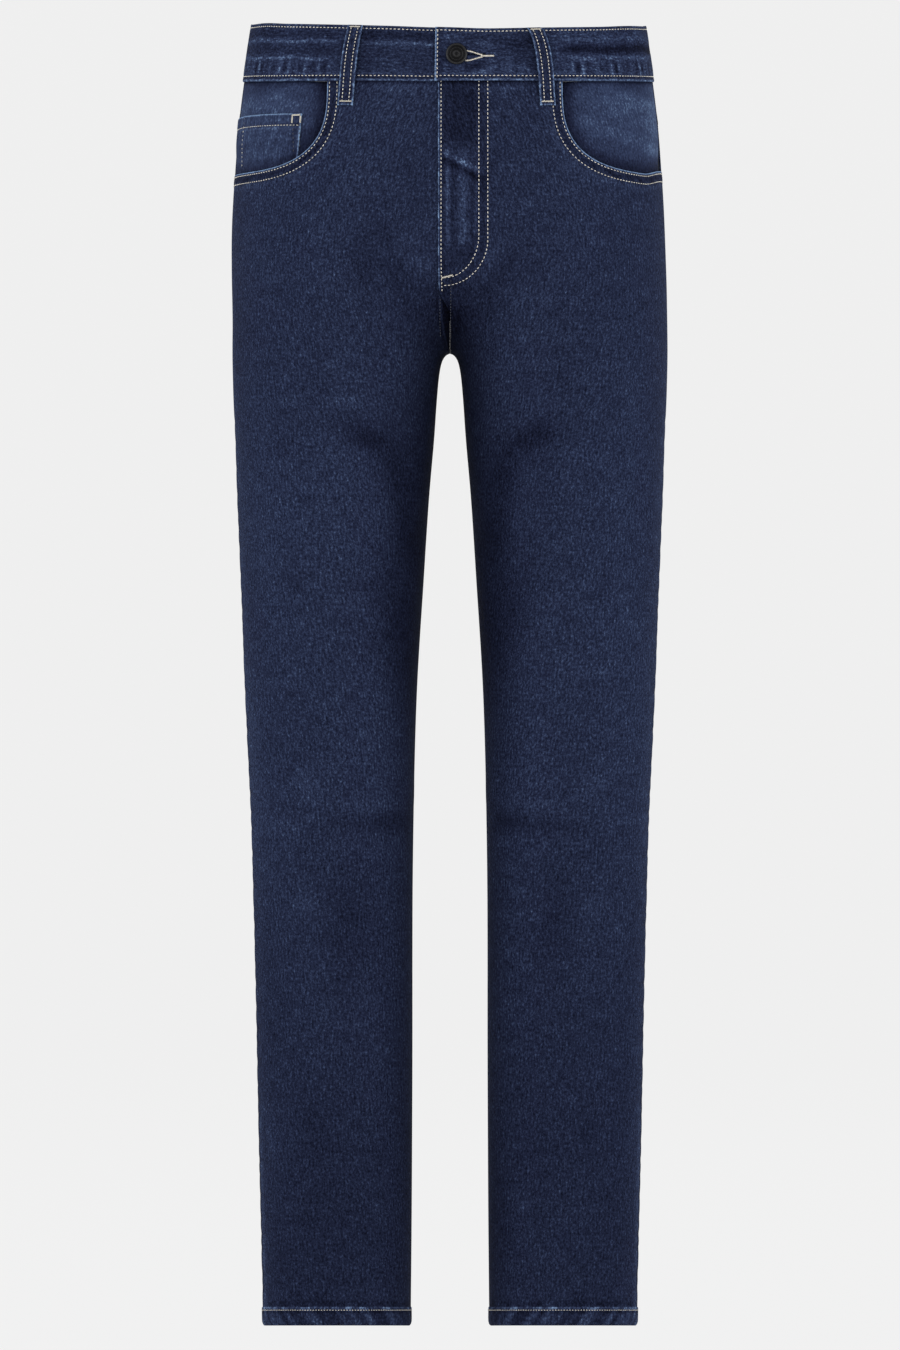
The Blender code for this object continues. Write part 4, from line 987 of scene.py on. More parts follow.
def fly_tone(s, z):
    """Tone of the fly: dark below the waistband, with worn streaks, the painted highlight and shade
    of a slanting crease, and painted shade along the inside of the J's outline.
    """
    outline = fly_outline(z)
    inside = step_between(s, -6.0, -2.0) * (1 - step_between(s, outline - 10, outline - 5))
    top = 1 - step_between(z, -96.0, -118.0)
    streaks = 0.12 * bump(s, -2.2, 2.0) + 0.12 * bump(s, 9.8, 2.4) + 0.07 * bump(s, 14.2, 2.0)
    streaks -= 0.10 * bump(s, 2.5, 2.4) + 0.09 * bump(s, 17.5, 2.4)
    streaks = streaks * step_between(z, -104.0, -125.0) * (1 - step_between(z, -176.0, -196.0))
    slope = z + 116.5 + 0.54 * (s + 3.0)
    crossed = step_between(s, -8.0, -4.0) * (1 - step_between(s, outline - 7, outline - 1))
    crease = (0.24 * bump(slope, 2.8, 2.4) - 0.26 * bump(slope, -2.8, 3.2)) * crossed
    low = -0.08 * bump(z, -196.0, 9.0)
    strip = -0.11 * bump(s, outline - 3.4, 3.2)
    threads = 0.05 * waves(s, 65, (5.0, 7.9, 11.3)) * inside
    return inside * (-0.17 * top + streaks + low) + crease + threads + strip


def back_offset(side, f, z):
    length = half_length(BACK, z)
    s, from_outseam = f * length, (1 - f) * length
    hem_out, tone = hem_fields(from_outseam + 400.0, z)
    pinch = seam_puckers(from_outseam, z)
    rise = hem_out - PUCKER_DEPTH * pinch
    # Painted light and shade beside the outseam, and painted shade on its puckers
    tone = tone + side_painted_light(from_outseam, z) - PUCKER_PAINTED_SHADE * pinch
    above = 1 - step_between(z, CROTCH_Z + 8, CROTCH_Z - 2)
    if side == LEFT:
        rise += (0.4 * (1 - step_between(s, 9.0, 12.0)) + ditch(s, RISE_ROWS)) * above
        # Painted highlight along the rise seam's edge and painted shade along its rows
        tone += (0.22 * bump(s, 0.4, 0.8) - 0.06 * bump(s, 4.8, 3.0)) * above
    seat = bump(s, 78.0, 60.0) * bump(z, -190.0, 90.0)
    thigh = bump(s, 95.0, 55.0) * bump(z, -450.0, 150.0)
    knee = -0.07 * bump(z, -648.0, 45.0)
    return rise, tone + 0.08 * seat + 0.03 * thigh + knee


# Mesh building


def mesh_object(name, points, faces, materials, face_slots=None, fields=None):
    """A smooth mesh in metres with its fields as attributes, facing outwards."""
    mesh = bpy.data.meshes.new(name)
    points = np.asarray(points, float) * M_PER_MM
    faces = np.asarray(faces, int)
    mesh.vertices.add(len(points))
    mesh.vertices.foreach_set("co", points.ravel())
    sides = faces.shape[1]
    mesh.loops.add(faces.size)
    mesh.loops.foreach_set("vertex_index", faces.ravel())
    mesh.polygons.add(len(faces))
    mesh.polygons.foreach_set("loop_start", np.arange(0, faces.size, sides))
    mesh.update(calc_edges=True)
    for key, values in (fields or {}).items():
        values = np.asarray(values, float)
        kind = "FLOAT" if values.ndim == 1 else "FLOAT_VECTOR"
        slot = mesh.attributes.new(key, kind, "POINT")
        slot.data.foreach_set("value" if values.ndim == 1 else "vector", values.ravel())
    for material in materials:
        mesh.materials.append(material)
    if face_slots is not None:
        mesh.polygons.foreach_set("material_index", np.asarray(face_slots, np.int32))
    mesh.shade_smooth()
    mesh.update()
    mesh.validate()
    made = bpy.data.objects.new(name, mesh)
    bpy.context.scene.collection.objects.link(made)
    return made


def numbered(rows, columns):
    """A grid of point numbers."""
    return np.arange(rows * columns).reshape(rows, columns)


def quads(index):
    """Faces of a grid of point numbers."""
    a, b, c, d = index[:-1, :-1], index[:-1, 1:], index[1:, 1:], index[1:, :-1]
    return np.stack([a, b, c, d], axis=-1).reshape(-1, 4)


def border(index):
    """Point numbers round a grid's edge, in order."""
    return np.concatenate([index[0, :-1], index[:-1, -1], index[-1, :0:-1], index[:0:-1, 0]])


def shell(name, outer, inner, materials, weave, tone, holes=None):
    """A closed cloth wall between two grids. Its inner faces have the second material."""
    rows, columns = outer.shape[:2]
    index = numbered(rows, columns)
    under = index + rows * columns
    top, low = quads(index), quads(under)[:, ::-1]
    rim_out, rim_in = border(index), border(under)
    out_next, in_next = np.roll(rim_out, -1), np.roll(rim_in, -1)
    rim = np.stack([rim_out, rim_in, in_next, out_next], axis=1)
    if holes is not None:
        keep = ~holes.ravel()
        top, low = top[keep], low[keep]
        rim = np.concatenate([rim, hole_rims(index, under, holes)])
    faces = np.concatenate([top, low, rim])
    slots = np.concatenate([np.zeros(len(top)), np.ones(len(low)), np.zeros(len(rim))])
    points = np.concatenate([outer.reshape(-1, 3), inner.reshape(-1, 3)])
    a, b, c = points[faces[:, 0]], points[faces[:, 1]], points[faces[:, 2]]
    if np.einsum("ij,ij->i", a - points.mean(axis=0), np.cross(b - a, c - a)).sum() < 0:
        faces = faces[:, ::-1]
    fields = {
        "weave": np.concatenate([weave.reshape(-1, 3)] * 2) * M_PER_MM,
        "tone": np.concatenate([tone.ravel(), tone.ravel()]),
    }
    return mesh_object(name, points, faces, materials, slots, fields)


def hole_rims(index, under, holes):
    """Faces round the cells that are left out."""
    found = []
    rows, columns = holes.shape
    for r, c in zip(*np.nonzero(holes)):
        edges = (
            ((r - 1, c), (r, c + 1), (r, c)),
            ((r + 1, c), (r + 1, c), (r + 1, c + 1)),
            ((r, c - 1), (r, c), (r + 1, c)),
            ((r, c + 1), (r + 1, c + 1), (r, c + 1)),
        )
        for (nr, nc), start, end in edges:
            if 0 <= nr < rows and 0 <= nc < columns and not holes[nr, nc]:
                found.append((index[start], index[end], under[end], under[start]))
    return np.array(found)


# Where each kind of piece lies in the weave, so that no two pieces show the same part of it
WEAVE_AT = {
    "back": 2000,
    "yoke": 4000,
    "facing": 6000,
    "coin": 7000,
    "pocket": 8000,
    "band": 9000,
    "loop": 11000,
}
PANEL_SHIFT, SMALL_SHIFT = 500, 300


def weave_places(across, along):
    """Coordinates of the weave on the cloth: weft across, warp along."""
    return np.stack([across, along, np.zeros(np.shape(across))], axis=-1)


# Materials


class Nodes:
    """Short calls for building a material's nodes."""

    def __init__(self, name):
        self.material = bpy.data.materials.new(name)
        self.material.use_nodes = True
        self.tree = self.material.node_tree
        self.shader = self.tree.nodes["Principled BSDF"]

    def add(self, kind, inputs=None, **settings):
        node = self.tree.nodes.new(kind)
        for key, value in settings.items():
            setattr(node, key, value)
        for key, value in (inputs or {}).items():
            self.put(node.inputs[key], value)
        return node

    def put(self, socket, value):
        if isinstance(value, bpy.types.NodeSocket):
            self.tree.links.new(value, socket)
        else:
            socket.default_value = value

    def math(self, operation, a, b=None, c=None):
        values = {i: v for i, v in enumerate((a, b, c)) if v is not None}
        return self.add("ShaderNodeMath", values, operation=operation).outputs[0]

    def field(self, name, output="Fac"):
        return self.add("ShaderNodeAttribute", attribute_name=name).outputs[output]

    def noise(self, place, scale, detail=2.0, roughness=0.55):
        inputs = {"Vector": place, "Scale": scale, "Detail": detail, "Roughness": roughness}
        return self.add("ShaderNodeTexNoise", inputs).outputs["Fac"]

    def stretched(self, place, scale):
        return self.add("ShaderNodeMapping", {"Vector": place, "Scale": scale}).outputs[0]

    def bump(self, height, strength, distance):
        inputs = {"Height": height, "Strength": strength, "Distance": distance}
        self.put(self.shader.inputs["Normal"], self.add("ShaderNodeBump", inputs).outputs[0])

    def ramp(self, factor, stops):
        node = self.add("ShaderNodeValToRGB", {"Fac": factor})
        elements = node.color_ramp.elements
        while len(elements) < len(stops):
            elements.new(0.5)
        for element, (place, colour) in zip(elements, stops):
            element.position = place
            element.color = (*colour, 1.0)
        return node.outputs["Color"]


# Linear colours of the indigo at rising tones
INDIGO = (
    (0.00, (0.0018, 0.0018, 0.0042)),
    (0.25, (0.0040, 0.0052, 0.0140)),
    (0.50, (0.0120, 0.0160, 0.0375)),
    (0.72, (0.0300, 0.0430, 0.0900)),
    (1.00, (0.1500, 0.2250, 0.3600)),
)
INSIDE_OUT = (
    (0.00, (0.040, 0.046, 0.062)),
    (0.50, (0.120, 0.130, 0.155)),
    (1.00, (0.300, 0.310, 0.330)),
)
TWILL_PITCH = 0.00095
GRAIN = 1.15


def denim(name, ramp=INDIGO, grain=GRAIN):
    """Twill with uneven warp threads. Its tone follows the cloth's tone field."""
    n = Nodes(name)
    place = n.field("weave", "Vector")
    split = n.add("ShaderNodeSeparateXYZ", {"Vector": place}).outputs
    slubs = n.noise(n.stretched(place, (1.0, 0.18, 1.0)), 560.0, 3.0, 0.7)
    specks = n.noise(n.stretched(place, (1.0, 0.7, 1.0)), 620.0, 3.0, 0.7)
    clouds = n.noise(place, 60.0, 3.0, 0.6)
    lean = n.math("ADD", split["X"], n.math("MULTIPLY", split["Y"], 0.6))
    twill = n.math("SINE", n.math("MULTIPLY", lean, 2 * math.pi / TWILL_PITCH))
    tone = n.field("tone")
    fades = n.noise(n.stretched(place, (1.0, 0.4, 1.0)), 16.0, 2.0, 0.5)
    for pattern, strength in ((slubs, grain * 0.6), (specks, grain), (clouds, 0.13), (fades, 0.12)):
        swing = n.math("MULTIPLY", n.math("SUBTRACT", pattern, 0.5), strength)
        tone = n.math("ADD", tone, swing)
    tone = n.math("ADD", tone, n.math("MULTIPLY", twill, 0.012))
    n.put(n.shader.inputs["Base Color"], n.ramp(tone, ramp))
    n.put(n.shader.inputs["Roughness"], n.math("MULTIPLY_ADD", slubs, 0.16, 0.76))
    n.shader.inputs["Specular IOR Level"].default_value = 0.02
    height = n.math("ADD", n.math("MULTIPLY", twill, 0.35), n.math("MULTIPLY", slubs, 1.0))
    height = n.math("ADD", height, n.math("MULTIPLY", specks, 0.5))
    n.bump(height, 0.55, 0.00022)
    return n.material


# Linear colours of the two threads, dark to light
ECRU = ((0.34, 0.31, 0.25), (0.60, 0.56, 0.48), (0.86, 0.81, 0.71))
DIM = ((0.030, 0.032, 0.042), (0.055, 0.060, 0.078), (0.095, 0.100, 0.125))
THREAD_TWIST = 0.0006


def thread(name, shades=ECRU):
    """Polyester thread with a twist, in three shades."""
    n = Nodes(name)
    place = n.field("weave", "Vector")
    split = n.add("ShaderNodeSeparateXYZ", {"Vector": place}).outputs
    lean = n.math("ADD", split["X"], n.math("MULTIPLY", split["Y"], 1.4))
    twist = n.math("SINE", n.math("MULTIPLY", lean, 2 * math.pi / THREAD_TWIST))
    shade = n.noise(place, 260.0, 2.0, 0.6)
    factor = n.math("MULTIPLY_ADD", twist, 0.10, shade)
    stops = ((0.2, shades[0]), (0.5, shades[1]), (0.85, shades[2]))
    n.put(n.shader.inputs["Base Color"], n.ramp(factor, stops))
    n.put(n.shader.inputs["Roughness"], n.math("MULTIPLY_ADD", shade, 0.2, 0.5))
    n.shader.inputs["Specular IOR Level"].default_value = 0.3
    n.bump(twist, 0.5, 0.0001)
    return n.material


def gunmetal(name):
    """Blackened metal, rubbed lighter on its raised rings."""
    n = Nodes(name)
    place = n.add("ShaderNodeTexCoord").outputs["Object"]
    wear = n.noise(place, 900.0, 4.0, 0.65)
    rings = n.field("tone")
    factor = n.math("MULTIPLY_ADD", n.math("SUBTRACT", wear, 0.5), 0.35, rings)
    stops = (
        (0.0, (0.002, 0.002, 0.002)),
        (0.5, (0.010, 0.010, 0.011)),
        (1.0, (0.06, 0.06, 0.062)),
    )
    n.put(n.shader.inputs["Base Color"], n.ramp(factor, stops))
    n.shader.inputs["Metallic"].default_value = 0.9
    n.shader.inputs["Specular IOR Level"].default_value = 0.2
    n.put(n.shader.inputs["Roughness"], n.math("MULTIPLY_ADD", wear, 0.3, 0.3))
    n.bump(wear, 0.25, 0.0001)
    return n.material


PAPER_GREY, PAPER_GLOW = 0.06, 0.818


def paper(name):
    """Pale studio paper that glows evenly, so that its tone is the same all over."""
    n = Nodes(name)
    n.shader.inputs["Base Color"].default_value = (PAPER_GREY, PAPER_GREY, PAPER_GREY, 1.0)
    n.shader.inputs["Roughness"].default_value = 1.0
    n.shader.inputs["Specular IOR Level"].default_value = 0.0
    n.shader.inputs["Emission Color"].default_value = (1.0, 1.0, 1.0, 1.0)
    n.shader.inputs["Emission Strength"].default_value = PAPER_GLOW
    return n.material


# Stitches

STITCH_SIDES = 6
STITCH_RINGS = (
    # Place along the stitch, share of the thread's radius, and rise above the cloth's surface
    (-0.50, 0.30, -0.42),
    (-0.42, 0.80, -0.10),
    (-0.18, 1.00, 0.14),
    (0.18, 1.00, 0.14),
    (0.42, 0.80, -0.10),
    (0.50, 0.30, -0.42),
)


def even_path(points, normals, pitch):
    """Points, directions and normals at even steps along a line on the cloth."""
    steps = np.linalg.norm(np.diff(points, axis=0), axis=1)
    length = np.concatenate([[0.0], np.cumsum(steps)])
    count = max(1, int(length[-1] / pitch))
    places = (np.arange(count) + 0.5) * length[-1] / count
    near = 0.4

    def read(values, at):
        return np.stack([np.interp(at, length, values[:, k]) for k in range(3)], axis=1)

    along = read(points, places + near) - read(points, places - near)
    along /= np.linalg.norm(along, axis=1)[:, None]
    normal = read(normals, places)
    normal -= along * (normal * along).sum(axis=1)[:, None]
    normal /= np.linalg.norm(normal, axis=1)[:, None]
    return read(points, places), along, normal


def stitches(rows, pitch=STITCH_PITCH, length=STITCH_LENGTH, width=THREAD_WIDTH, seed=3):
    """Points and faces of the stitches along each row. A row is its points and normals."""
    rng = np.random.default_rng(seed)
    turns = np.linspace(0.0, 2 * math.pi, STITCH_SIDES, endpoint=False)
    all_points, all_faces, all_places, start = [], [], [], 0
    for line, normals in rows:
        middle, along, up = even_path(line, normals, pitch)
        beside = np.cross(along, up)
        count = len(middle)
        size = length * rng.uniform(0.92, 1.06, count)
        lean = rng.uniform(-0.10, 0.10, count)
        along = along + beside * lean[:, None]
        radius = width / 2 * rng.uniform(0.94, 1.06, count)
        rings = []
        for place, share, rise in STITCH_RINGS:
            centre = middle + along * (size * place)[:, None] + up * (rise * width)
            for turn in turns:
                out = beside * math.cos(turn) + up * math.sin(turn)
                rings.append(centre + out * (radius * share)[:, None])
        points = np.stack(rings, axis=1)
        per = points.shape[1]
        base = start + np.arange(count)[:, None] * per
        for r in range(len(STITCH_RINGS) - 1):
            for k in range(STITCH_SIDES):
                m = (k + 1) % STITCH_SIDES
                a, b = r * STITCH_SIDES + k, r * STITCH_SIDES + m
                c, d = b + STITCH_SIDES, a + STITCH_SIDES
                all_faces.append(base + np.array([a, b, c, d]))
        last = (len(STITCH_RINGS) - 1) * STITCH_SIDES
        for a, b, c, d in ((0, 5, 4, 1), (1, 4, 3, 2)):
            all_faces.append(base + np.array([a, b, c, d]))
            all_faces.append(base + last + np.array([d, c, b, a]))
        all_points.append(points.reshape(-1, 3))
        run = np.repeat(np.arange(count) * length, per)
        ring_place = np.tile(np.repeat([r[0] * length for r in STITCH_RINGS], STITCH_SIDES), count)
        turn_place = np.tile(turns * width / 2, count * len(STITCH_RINGS))
        all_places.append(weave_places(run + ring_place, turn_place))
        start += count * per
    return np.concatenate(all_points), np.concatenate(all_faces), np.concatenate(all_places)


def stitch_object(name, groups, material=None):
    """One mesh of all the stitches on a piece. groups holds what stitches() gave."""
    points, faces, places, start = [], [], [], 0
    for group_points, group_faces, group_places in groups:
        points.append(group_points)
        faces.append(group_faces + start)
        places.append(group_places)
        start += len(group_points)
    fields = {"weave": np.concatenate(places) * M_PER_MM}
    made = mesh_object(
        name, np.concatenate(points), np.concatenate(faces), [material or THREAD], fields=fields
    )
    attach(made, "root")
    return made


def bar_tack(middle, across, up, length, width=1.5, pitch=0.62):
    """A dense row of short threads across a line: points, faces and places."""
    across = across / np.linalg.norm(across)
    along = np.cross(up, across)
    along /= np.linalg.norm(along)
    count = int(length / pitch)
    rows = []
    for k in range(count):
        centre = middle + across * ((k + 0.5) * pitch - length / 2)
        tip = along * width / 2 + across * pitch * 0.4
        line = np.stack([centre - tip, centre + tip])
        rows.append((line, np.stack([up, up])))
    return stitches(rows, pitch=width, length=width * 1.15, width=0.7, seed=8)


# Pieces


def seam_keep(points, side, limit_x):
    """Keeps a panel on its own side of the seam line, half a seam gap away from it."""
    own = points[..., 0] * side
    points[..., 0] = side * np.maximum(own, np.asarray(limit_x)[:, None] + SEAM_GAP / 2)
    return points


# Tone of the front down the leg, at the middle of the thigh
WASH_COLUMNS = ("z", "tone")
WASH = (
    (-42, 0.50),
    (-150, 0.50),
    (-260, 0.49),
    (-330, 0.50),
    (-450, 0.51),
    (-560, 0.51),
    (-640, 0.50),
    (-720, 0.48),
    (-820, 0.46),
    (-900, 0.44),
    (-1000, 0.42),
    (-1062, 0.43),
)
WASH_TABLE = table(WASH_COLUMNS, WASH)


def wash(z):
    return smooth_read(WASH_TABLE["z"], WASH_TABLE["tone"], z)


def front_tone(f, z):
    """Tone of the front: painted shade at the crotch and down the inner leg, and painted light near
    the outseam and along the inseam's edge.
    """
    length = half_length(FRONT, z)
    x = form_x(FRONT, f, z)
    crotch = bump(np.abs(x), 0.0, 30.0) * bump(z, -246.0, 30.0)
    inner = step_between(x, 62.0, 24.0) * step_between(z, -250.0, -380.0)
    inner = inner * (1 - 0.65 * step_between(z, -520.0, -640.0))
    from_outseam, from_inseam = (1 - f) * length, f * length
    outer = step_between(from_outseam, 48.0, 8.0)
    rim = step_between(from_inseam, 26.0, 4.0) * step_between(z, -300.0, -380.0)
    return wash(z) - 0.13 * crotch - 0.10 * inner + 0.02 * outer + 0.09 * rim


def front_panel(side, name, materials):
    f, z = front_grid(side)
    base, normal = cloth_frame(side, FRONT, f, z)
    rise, tone = front_offset(side, f, z)
    outer = moved(base, normal, rise)
    tone = tone + front_tone(f, z)
    fold = HEM_Z + HEM_HEIGHT
    inside = step_between(z - hem_rise(f), fold, fold - 0.6) * (HEM_OUT + HEM_IN)
    inner = moved(base, normal, rise - WALL - inside)
    level = z[:, 0]
    edge_x = fly_edge_x(level) if side == LEFT else np.zeros(len(level))
    limit = np.where(level < CROTCH_Z, -1e3, edge_x)
    outer, inner = (seam_keep(p, side, limit) for p in (outer, inner))
    weave = weave_places((1 - f) * half_length(FRONT, z) + (1 + side) * PANEL_SHIFT, z)
    return finish_cloth(name, outer, inner, materials, weave, tone)


def declare_cut(name):
    """Does nothing, for belt loops and for other pieces alike."""
    if name.startswith("belt_loop"):
        return


def finish_cloth(name, outer, inner, materials, weave, tone, holes=None):
    made = shell(f"{name}_cloth", outer, inner, materials, weave, tone, holes)
    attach(made, "root")
    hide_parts(name)
    declare_cut(name)
    return made


def back_panel(side, name, materials):
    f, z = back_grid()
    base, normal = cloth_frame(side, BACK, f, z)
    rise, tone = back_offset(side, f, z)
    inside = step_between(z, HEM_Z + HEM_HEIGHT, HEM_Z + HEM_HEIGHT - 0.6) * (HEM_OUT + HEM_IN)
    outer, inner = moved(base, normal, rise), moved(base, normal, rise - WALL - inside)
    level = z[:, 0]
    limit = np.where(level < CROTCH_Z, -1e3, 0.0)
    outer, inner = (seam_keep(p, side, limit) for p in (outer, inner))
    across = (1 - f) * half_length(BACK, z) + (1 + side) * PANEL_SHIFT
    weave = weave_places(across + WEAVE_AT["back"], z)
    return finish_cloth(name, outer, inner, materials, weave, tone + wash(z))


def yoke_offset(side, f, z):
    length = half_length(BACK, z)
    s = f * length
    above = z - yoke_z(f)
    rise = 0.3 * (1 - step_between(above, 9.0, 12.0)) + ditch(above, YOKE_ROWS)
    # Painted highlights along the yoke seam's edge and the rise seam's edge, and painted shade along
    # their rows
    tone = 0.24 * bump(above, 0.3, 0.8) - 0.05 * bump(above, 5.0, 3.0)
    rise = rise + outline_rounding(above)
    if side == LEFT:
        rise = rise + 0.3 * (1 - step_between(s, 9.0, 12.0)) + ditch(s, RISE_ROWS)
        tone = tone + 0.22 * bump(s, 0.4, 0.8) - 0.05 * bump(s, 4.8, 3.0)
    return rise, tone + 0.50


def yoke(side, name, materials):
    f, z = yoke_grid()
    base, normal = cloth_frame(side, BACK, f, z)
    rise, tone = yoke_offset(side, f, z)
    outer, inner = moved(base, normal, rise), moved(base, normal, rise - WALL)
    outer, inner = (seam_keep(p, side, np.zeros(len(f))) for p in (outer, inner))
    weave = weave_places(f * half_length(BACK, z) + WEAVE_AT["yoke"] + side * SMALL_SHIFT, z)
    return finish_cloth(name, outer, inner, materials, weave, tone)


def facing_tone(side, f, z):
    """The facings are worn lighter than the front, lighter still towards the hip with painted light
    at its side, painted shade where the mouth's edge and the waistband shade them, and the painted
    light and shade of soft wrinkles.
    """
    mouth = mouth_distance(side, f, z)
    x = form_x(FRONT, f, z)
    light = 0.61 if side == RIGHT else 0.635
    hip = 0.06 * bump(x, 142.0, 26.0) * bump(z, -66.0, 20.0) + 0.08 * bump(x, 168.0, 8.0)
    below = below_band(FRONT, f, z)
    shade = -0.33 * bump(mouth, 0.0, 9.0)
    shade = shade - 0.20 * bump(below, 0.0, 2.4) - 0.06 * bump(below, 4.0, 7.0)
    soft = 0.03 * waves(z + 0.30 * x, 67, (17.0, 29.0))
    soft = soft + 0.02 * waves(z - 0.4 * x, 68, (13.0, 23.0))
    return light + hip + shade + soft * step_between(mouth, 4.0, 12.0)


def pocket_facing(side, name, materials):
    f, z = facing_grid(side)
    base, normal = cloth_frame(side, FRONT, f, z)
    offset = facing_offset(side, f, z)
    outer, inner = moved(base, normal, offset), moved(base, normal, offset - FACING_WALL)
    across = (1 - f) * half_length(FRONT, z) + WEAVE_AT["facing"]
    weave = weave_places(across + side * SMALL_SHIFT, z)
    return finish_cloth(name, outer, inner, materials, weave, facing_tone(side, f, z))


def coin_top(f):
    """Height of the coin pocket's top edge, a little higher at the outseam."""
    x = form_x(FRONT, f, np.full(np.shape(f), COIN_TOP_Z))
    side_x = form("outer", COIN_TOP_Z)
    return COIN_TOP_Z - COIN_TILT * (side_x - x) / (side_x - COIN_EDGE_X)


def coin_grid(side):
    """Shares and heights of the coin pocket, from its top edge down to the pocket mouth."""
    edge_f = share_at_x(FRONT, COIN_EDGE_X, COIN_TOP_Z)
    length = half_length(FRONT, COIN_TOP_Z)
    across = from_edge((1 - edge_f[0]) * length, last=False) / length
    down = from_edge(45.0, 1.3) / 45.0
    f = np.repeat((edge_f + across)[None, :], len(down), axis=0)
    top = coin_top(f)
    low = with_waist_tilt(FRONT, f, mouth_z(side, f)) + COIN_GAP
    return f, top + (low - top) * down[:, None]


def coin_pocket(side, name, materials):
    f, z = coin_grid(side)
    s = (f - f[0, 0]) * half_length(FRONT, z)
    below_top = coin_top(f) - z
    base, normal = cloth_frame(side, FRONT, f, z)
    under = facing_offset(side, f, z) + PATCH_GAP
    rise = ditch(s, COIN_ROWS) + ditch(below_top, (COIN_HEM,)) + outline_rounding(s)
    rise = rise + outline_rounding(below_top) + 0.2 * (1 - step_between(below_top, 9, 11))
    mouth = mouth_distance(side, f, z)
    # Painted highlights along the side and top folds and below the hem's row, painted shade along the
    # rows and the hem, painted shadow under the mouth's edge, and an uneven tone
    tone = 0.62 + 0.34 * bump(s, 0.4, 0.8) + 0.34 * bump(below_top, 0.4, 0.8)
    tone = tone - 0.12 * bump(s, 4.8, 2.8) + 0.10 * bump(below_top, 11.4, 1.2)
    tone = tone - 0.06 * bump(below_top, 8.3, 1.2) - 0.20 * bump(mouth, 0.0, 6.0)
    tone = tone + 0.05 * waves(s + 0.5 * z, 69, (9.0, 15.0)) + 0.03 * waves(z, 70, (7.0, 13.0))
    outer = moved(base, normal, under + FACING_WALL + rise)
    inner = moved(base, normal, under)
    weave = weave_places(s + WEAVE_AT["coin"], z)
    return finish_cloth(name, outer, inner, materials, weave, tone)


def pocket_grid():
    """Places of the back pocket: across from -1 to 1, down from 0 to 1, shares and heights."""
    across = from_edge(POCKET_TOP_WIDTH) / POCKET_TOP_WIDTH * 2 - 1
    down = from_edge(POCKET_TIP) / POCKET_TIP
    a, v = np.meshgrid(across, down)
    middle = POCKET_FROM_OUTSEAM + POCKET_TOP_WIDTH / 2
    tip = POCKET_SIDE + (POCKET_TIP - POCKET_SIDE) * (1 - np.abs(a))
    half_width = POCKET_TOP_WIDTH / 2 + (POCKET_LOW_WIDTH - POCKET_TOP_WIDTH) / 2 * (
        v * tip / POCKET_SIDE
    ).clip(0, 1)
    from_outseam = middle + a * half_width
    tilt = -POCKET_TOP_TILT / 2 * a
    z = POCKET_TOP_Z + tilt - v * tip
    return a, v, tip, half_width, 1 - from_outseam / half_length(BACK, z), z


def pocket_edge_distance(a, v, tip, half_width):
    """Distance from the pocket's sewn edge, and from its top edge."""
    side_gap = (1 - np.abs(a)) * half_width
    slope = (POCKET_TIP - POCKET_SIDE) / (POCKET_LOW_WIDTH / 2)
    low_gap = (1 - v) * tip * math.cos(math.atan(slope))
    return np.minimum(side_gap, low_gap), v * tip


def back_pocket(side, name, materials):
    a, v, tip, half_width, f, z = pocket_grid()
    edge, from_top = pocket_edge_distance(a, v, tip, half_width)
    base, normal = cloth_frame(side, BACK, f, z)
    panel_rise, _ = back_offset(side, f, z)
    bulge = 0.5 * np.sin(math.pi * v.clip(0, 1)) * np.cos(a * math.pi / 2)
    rise = ditch(edge, POCKET_EDGE_ROWS) + ditch(from_top, POCKET_TOP_ROWS) + bulge
    rise = rise + outline_rounding(edge) + outline_rounding(from_top)
    # Painted highlights along the sewn and folded edges, painted shade along the rows beside them,
    # and lighter in the middle, where the pocket bulges
    tone = 0.50 + 0.26 * bump(edge, 0.2, 0.8) + 0.26 * bump(from_top, 0.2, 0.8)
    tone = tone - 0.06 * bump(edge, 5.0, 2.6) - 0.04 * bump(from_top, 5.0, 3.0)
    tone = tone + 0.08 * bump(a, 0.0, 0.6) * bump(v, 0.5, 0.35)
    outer = moved(base, normal, panel_rise + PATCH_GAP + PATCH_WALL + rise)
    inner = moved(base, normal, panel_rise + PATCH_GAP)
    weave = weave_places(a * half_width + WEAVE_AT["pocket"] + side * SMALL_SHIFT, z)
    return finish_cloth(name, outer, inner, materials, weave, tone)


def band_columns():
    """Side, half and share of the waistband's columns, from its left end round to the underlap,
    and the distance of each column from the left end."""
    level = -BAND_HEIGHT / 2
    front_mm = half_length(FRONT, level)
    back_mm = half_length(BACK, level)
    first = BAND_END_X + from_edge(front_mm - BAND_END_X, 2.6, last=False)
    back = np.linspace(0.0, 1.0, int(back_mm / 3.0))
    last = from_edge(front_mm + UNDERLAP_X, 2.6, last=False)[::-1] - UNDERLAP_X
    behind, after = len(back) - 1, len(last) - 1
    side = np.repeat([LEFT, RIGHT], [len(first) + behind, behind + after])
    is_front = np.repeat([True, False, True], [len(first), 2 * behind, after])
    share = np.concatenate([first / front_mm, 1 - back[1:], back[1:], last[1:] / front_mm])
    return side, is_front, share, front_mm, back_mm


def band_lift(side, is_front, s):
    over = BAND_LIFT * (1 - step_between(s, LIFT_FLAT, LIFT_ENDS))
    under = -BAND_SINK * step_between(s, BAND_SINK_FROM, BAND_SINK_TO)
    return np.where(is_front, np.where(side == LEFT, over, under), 0.0)


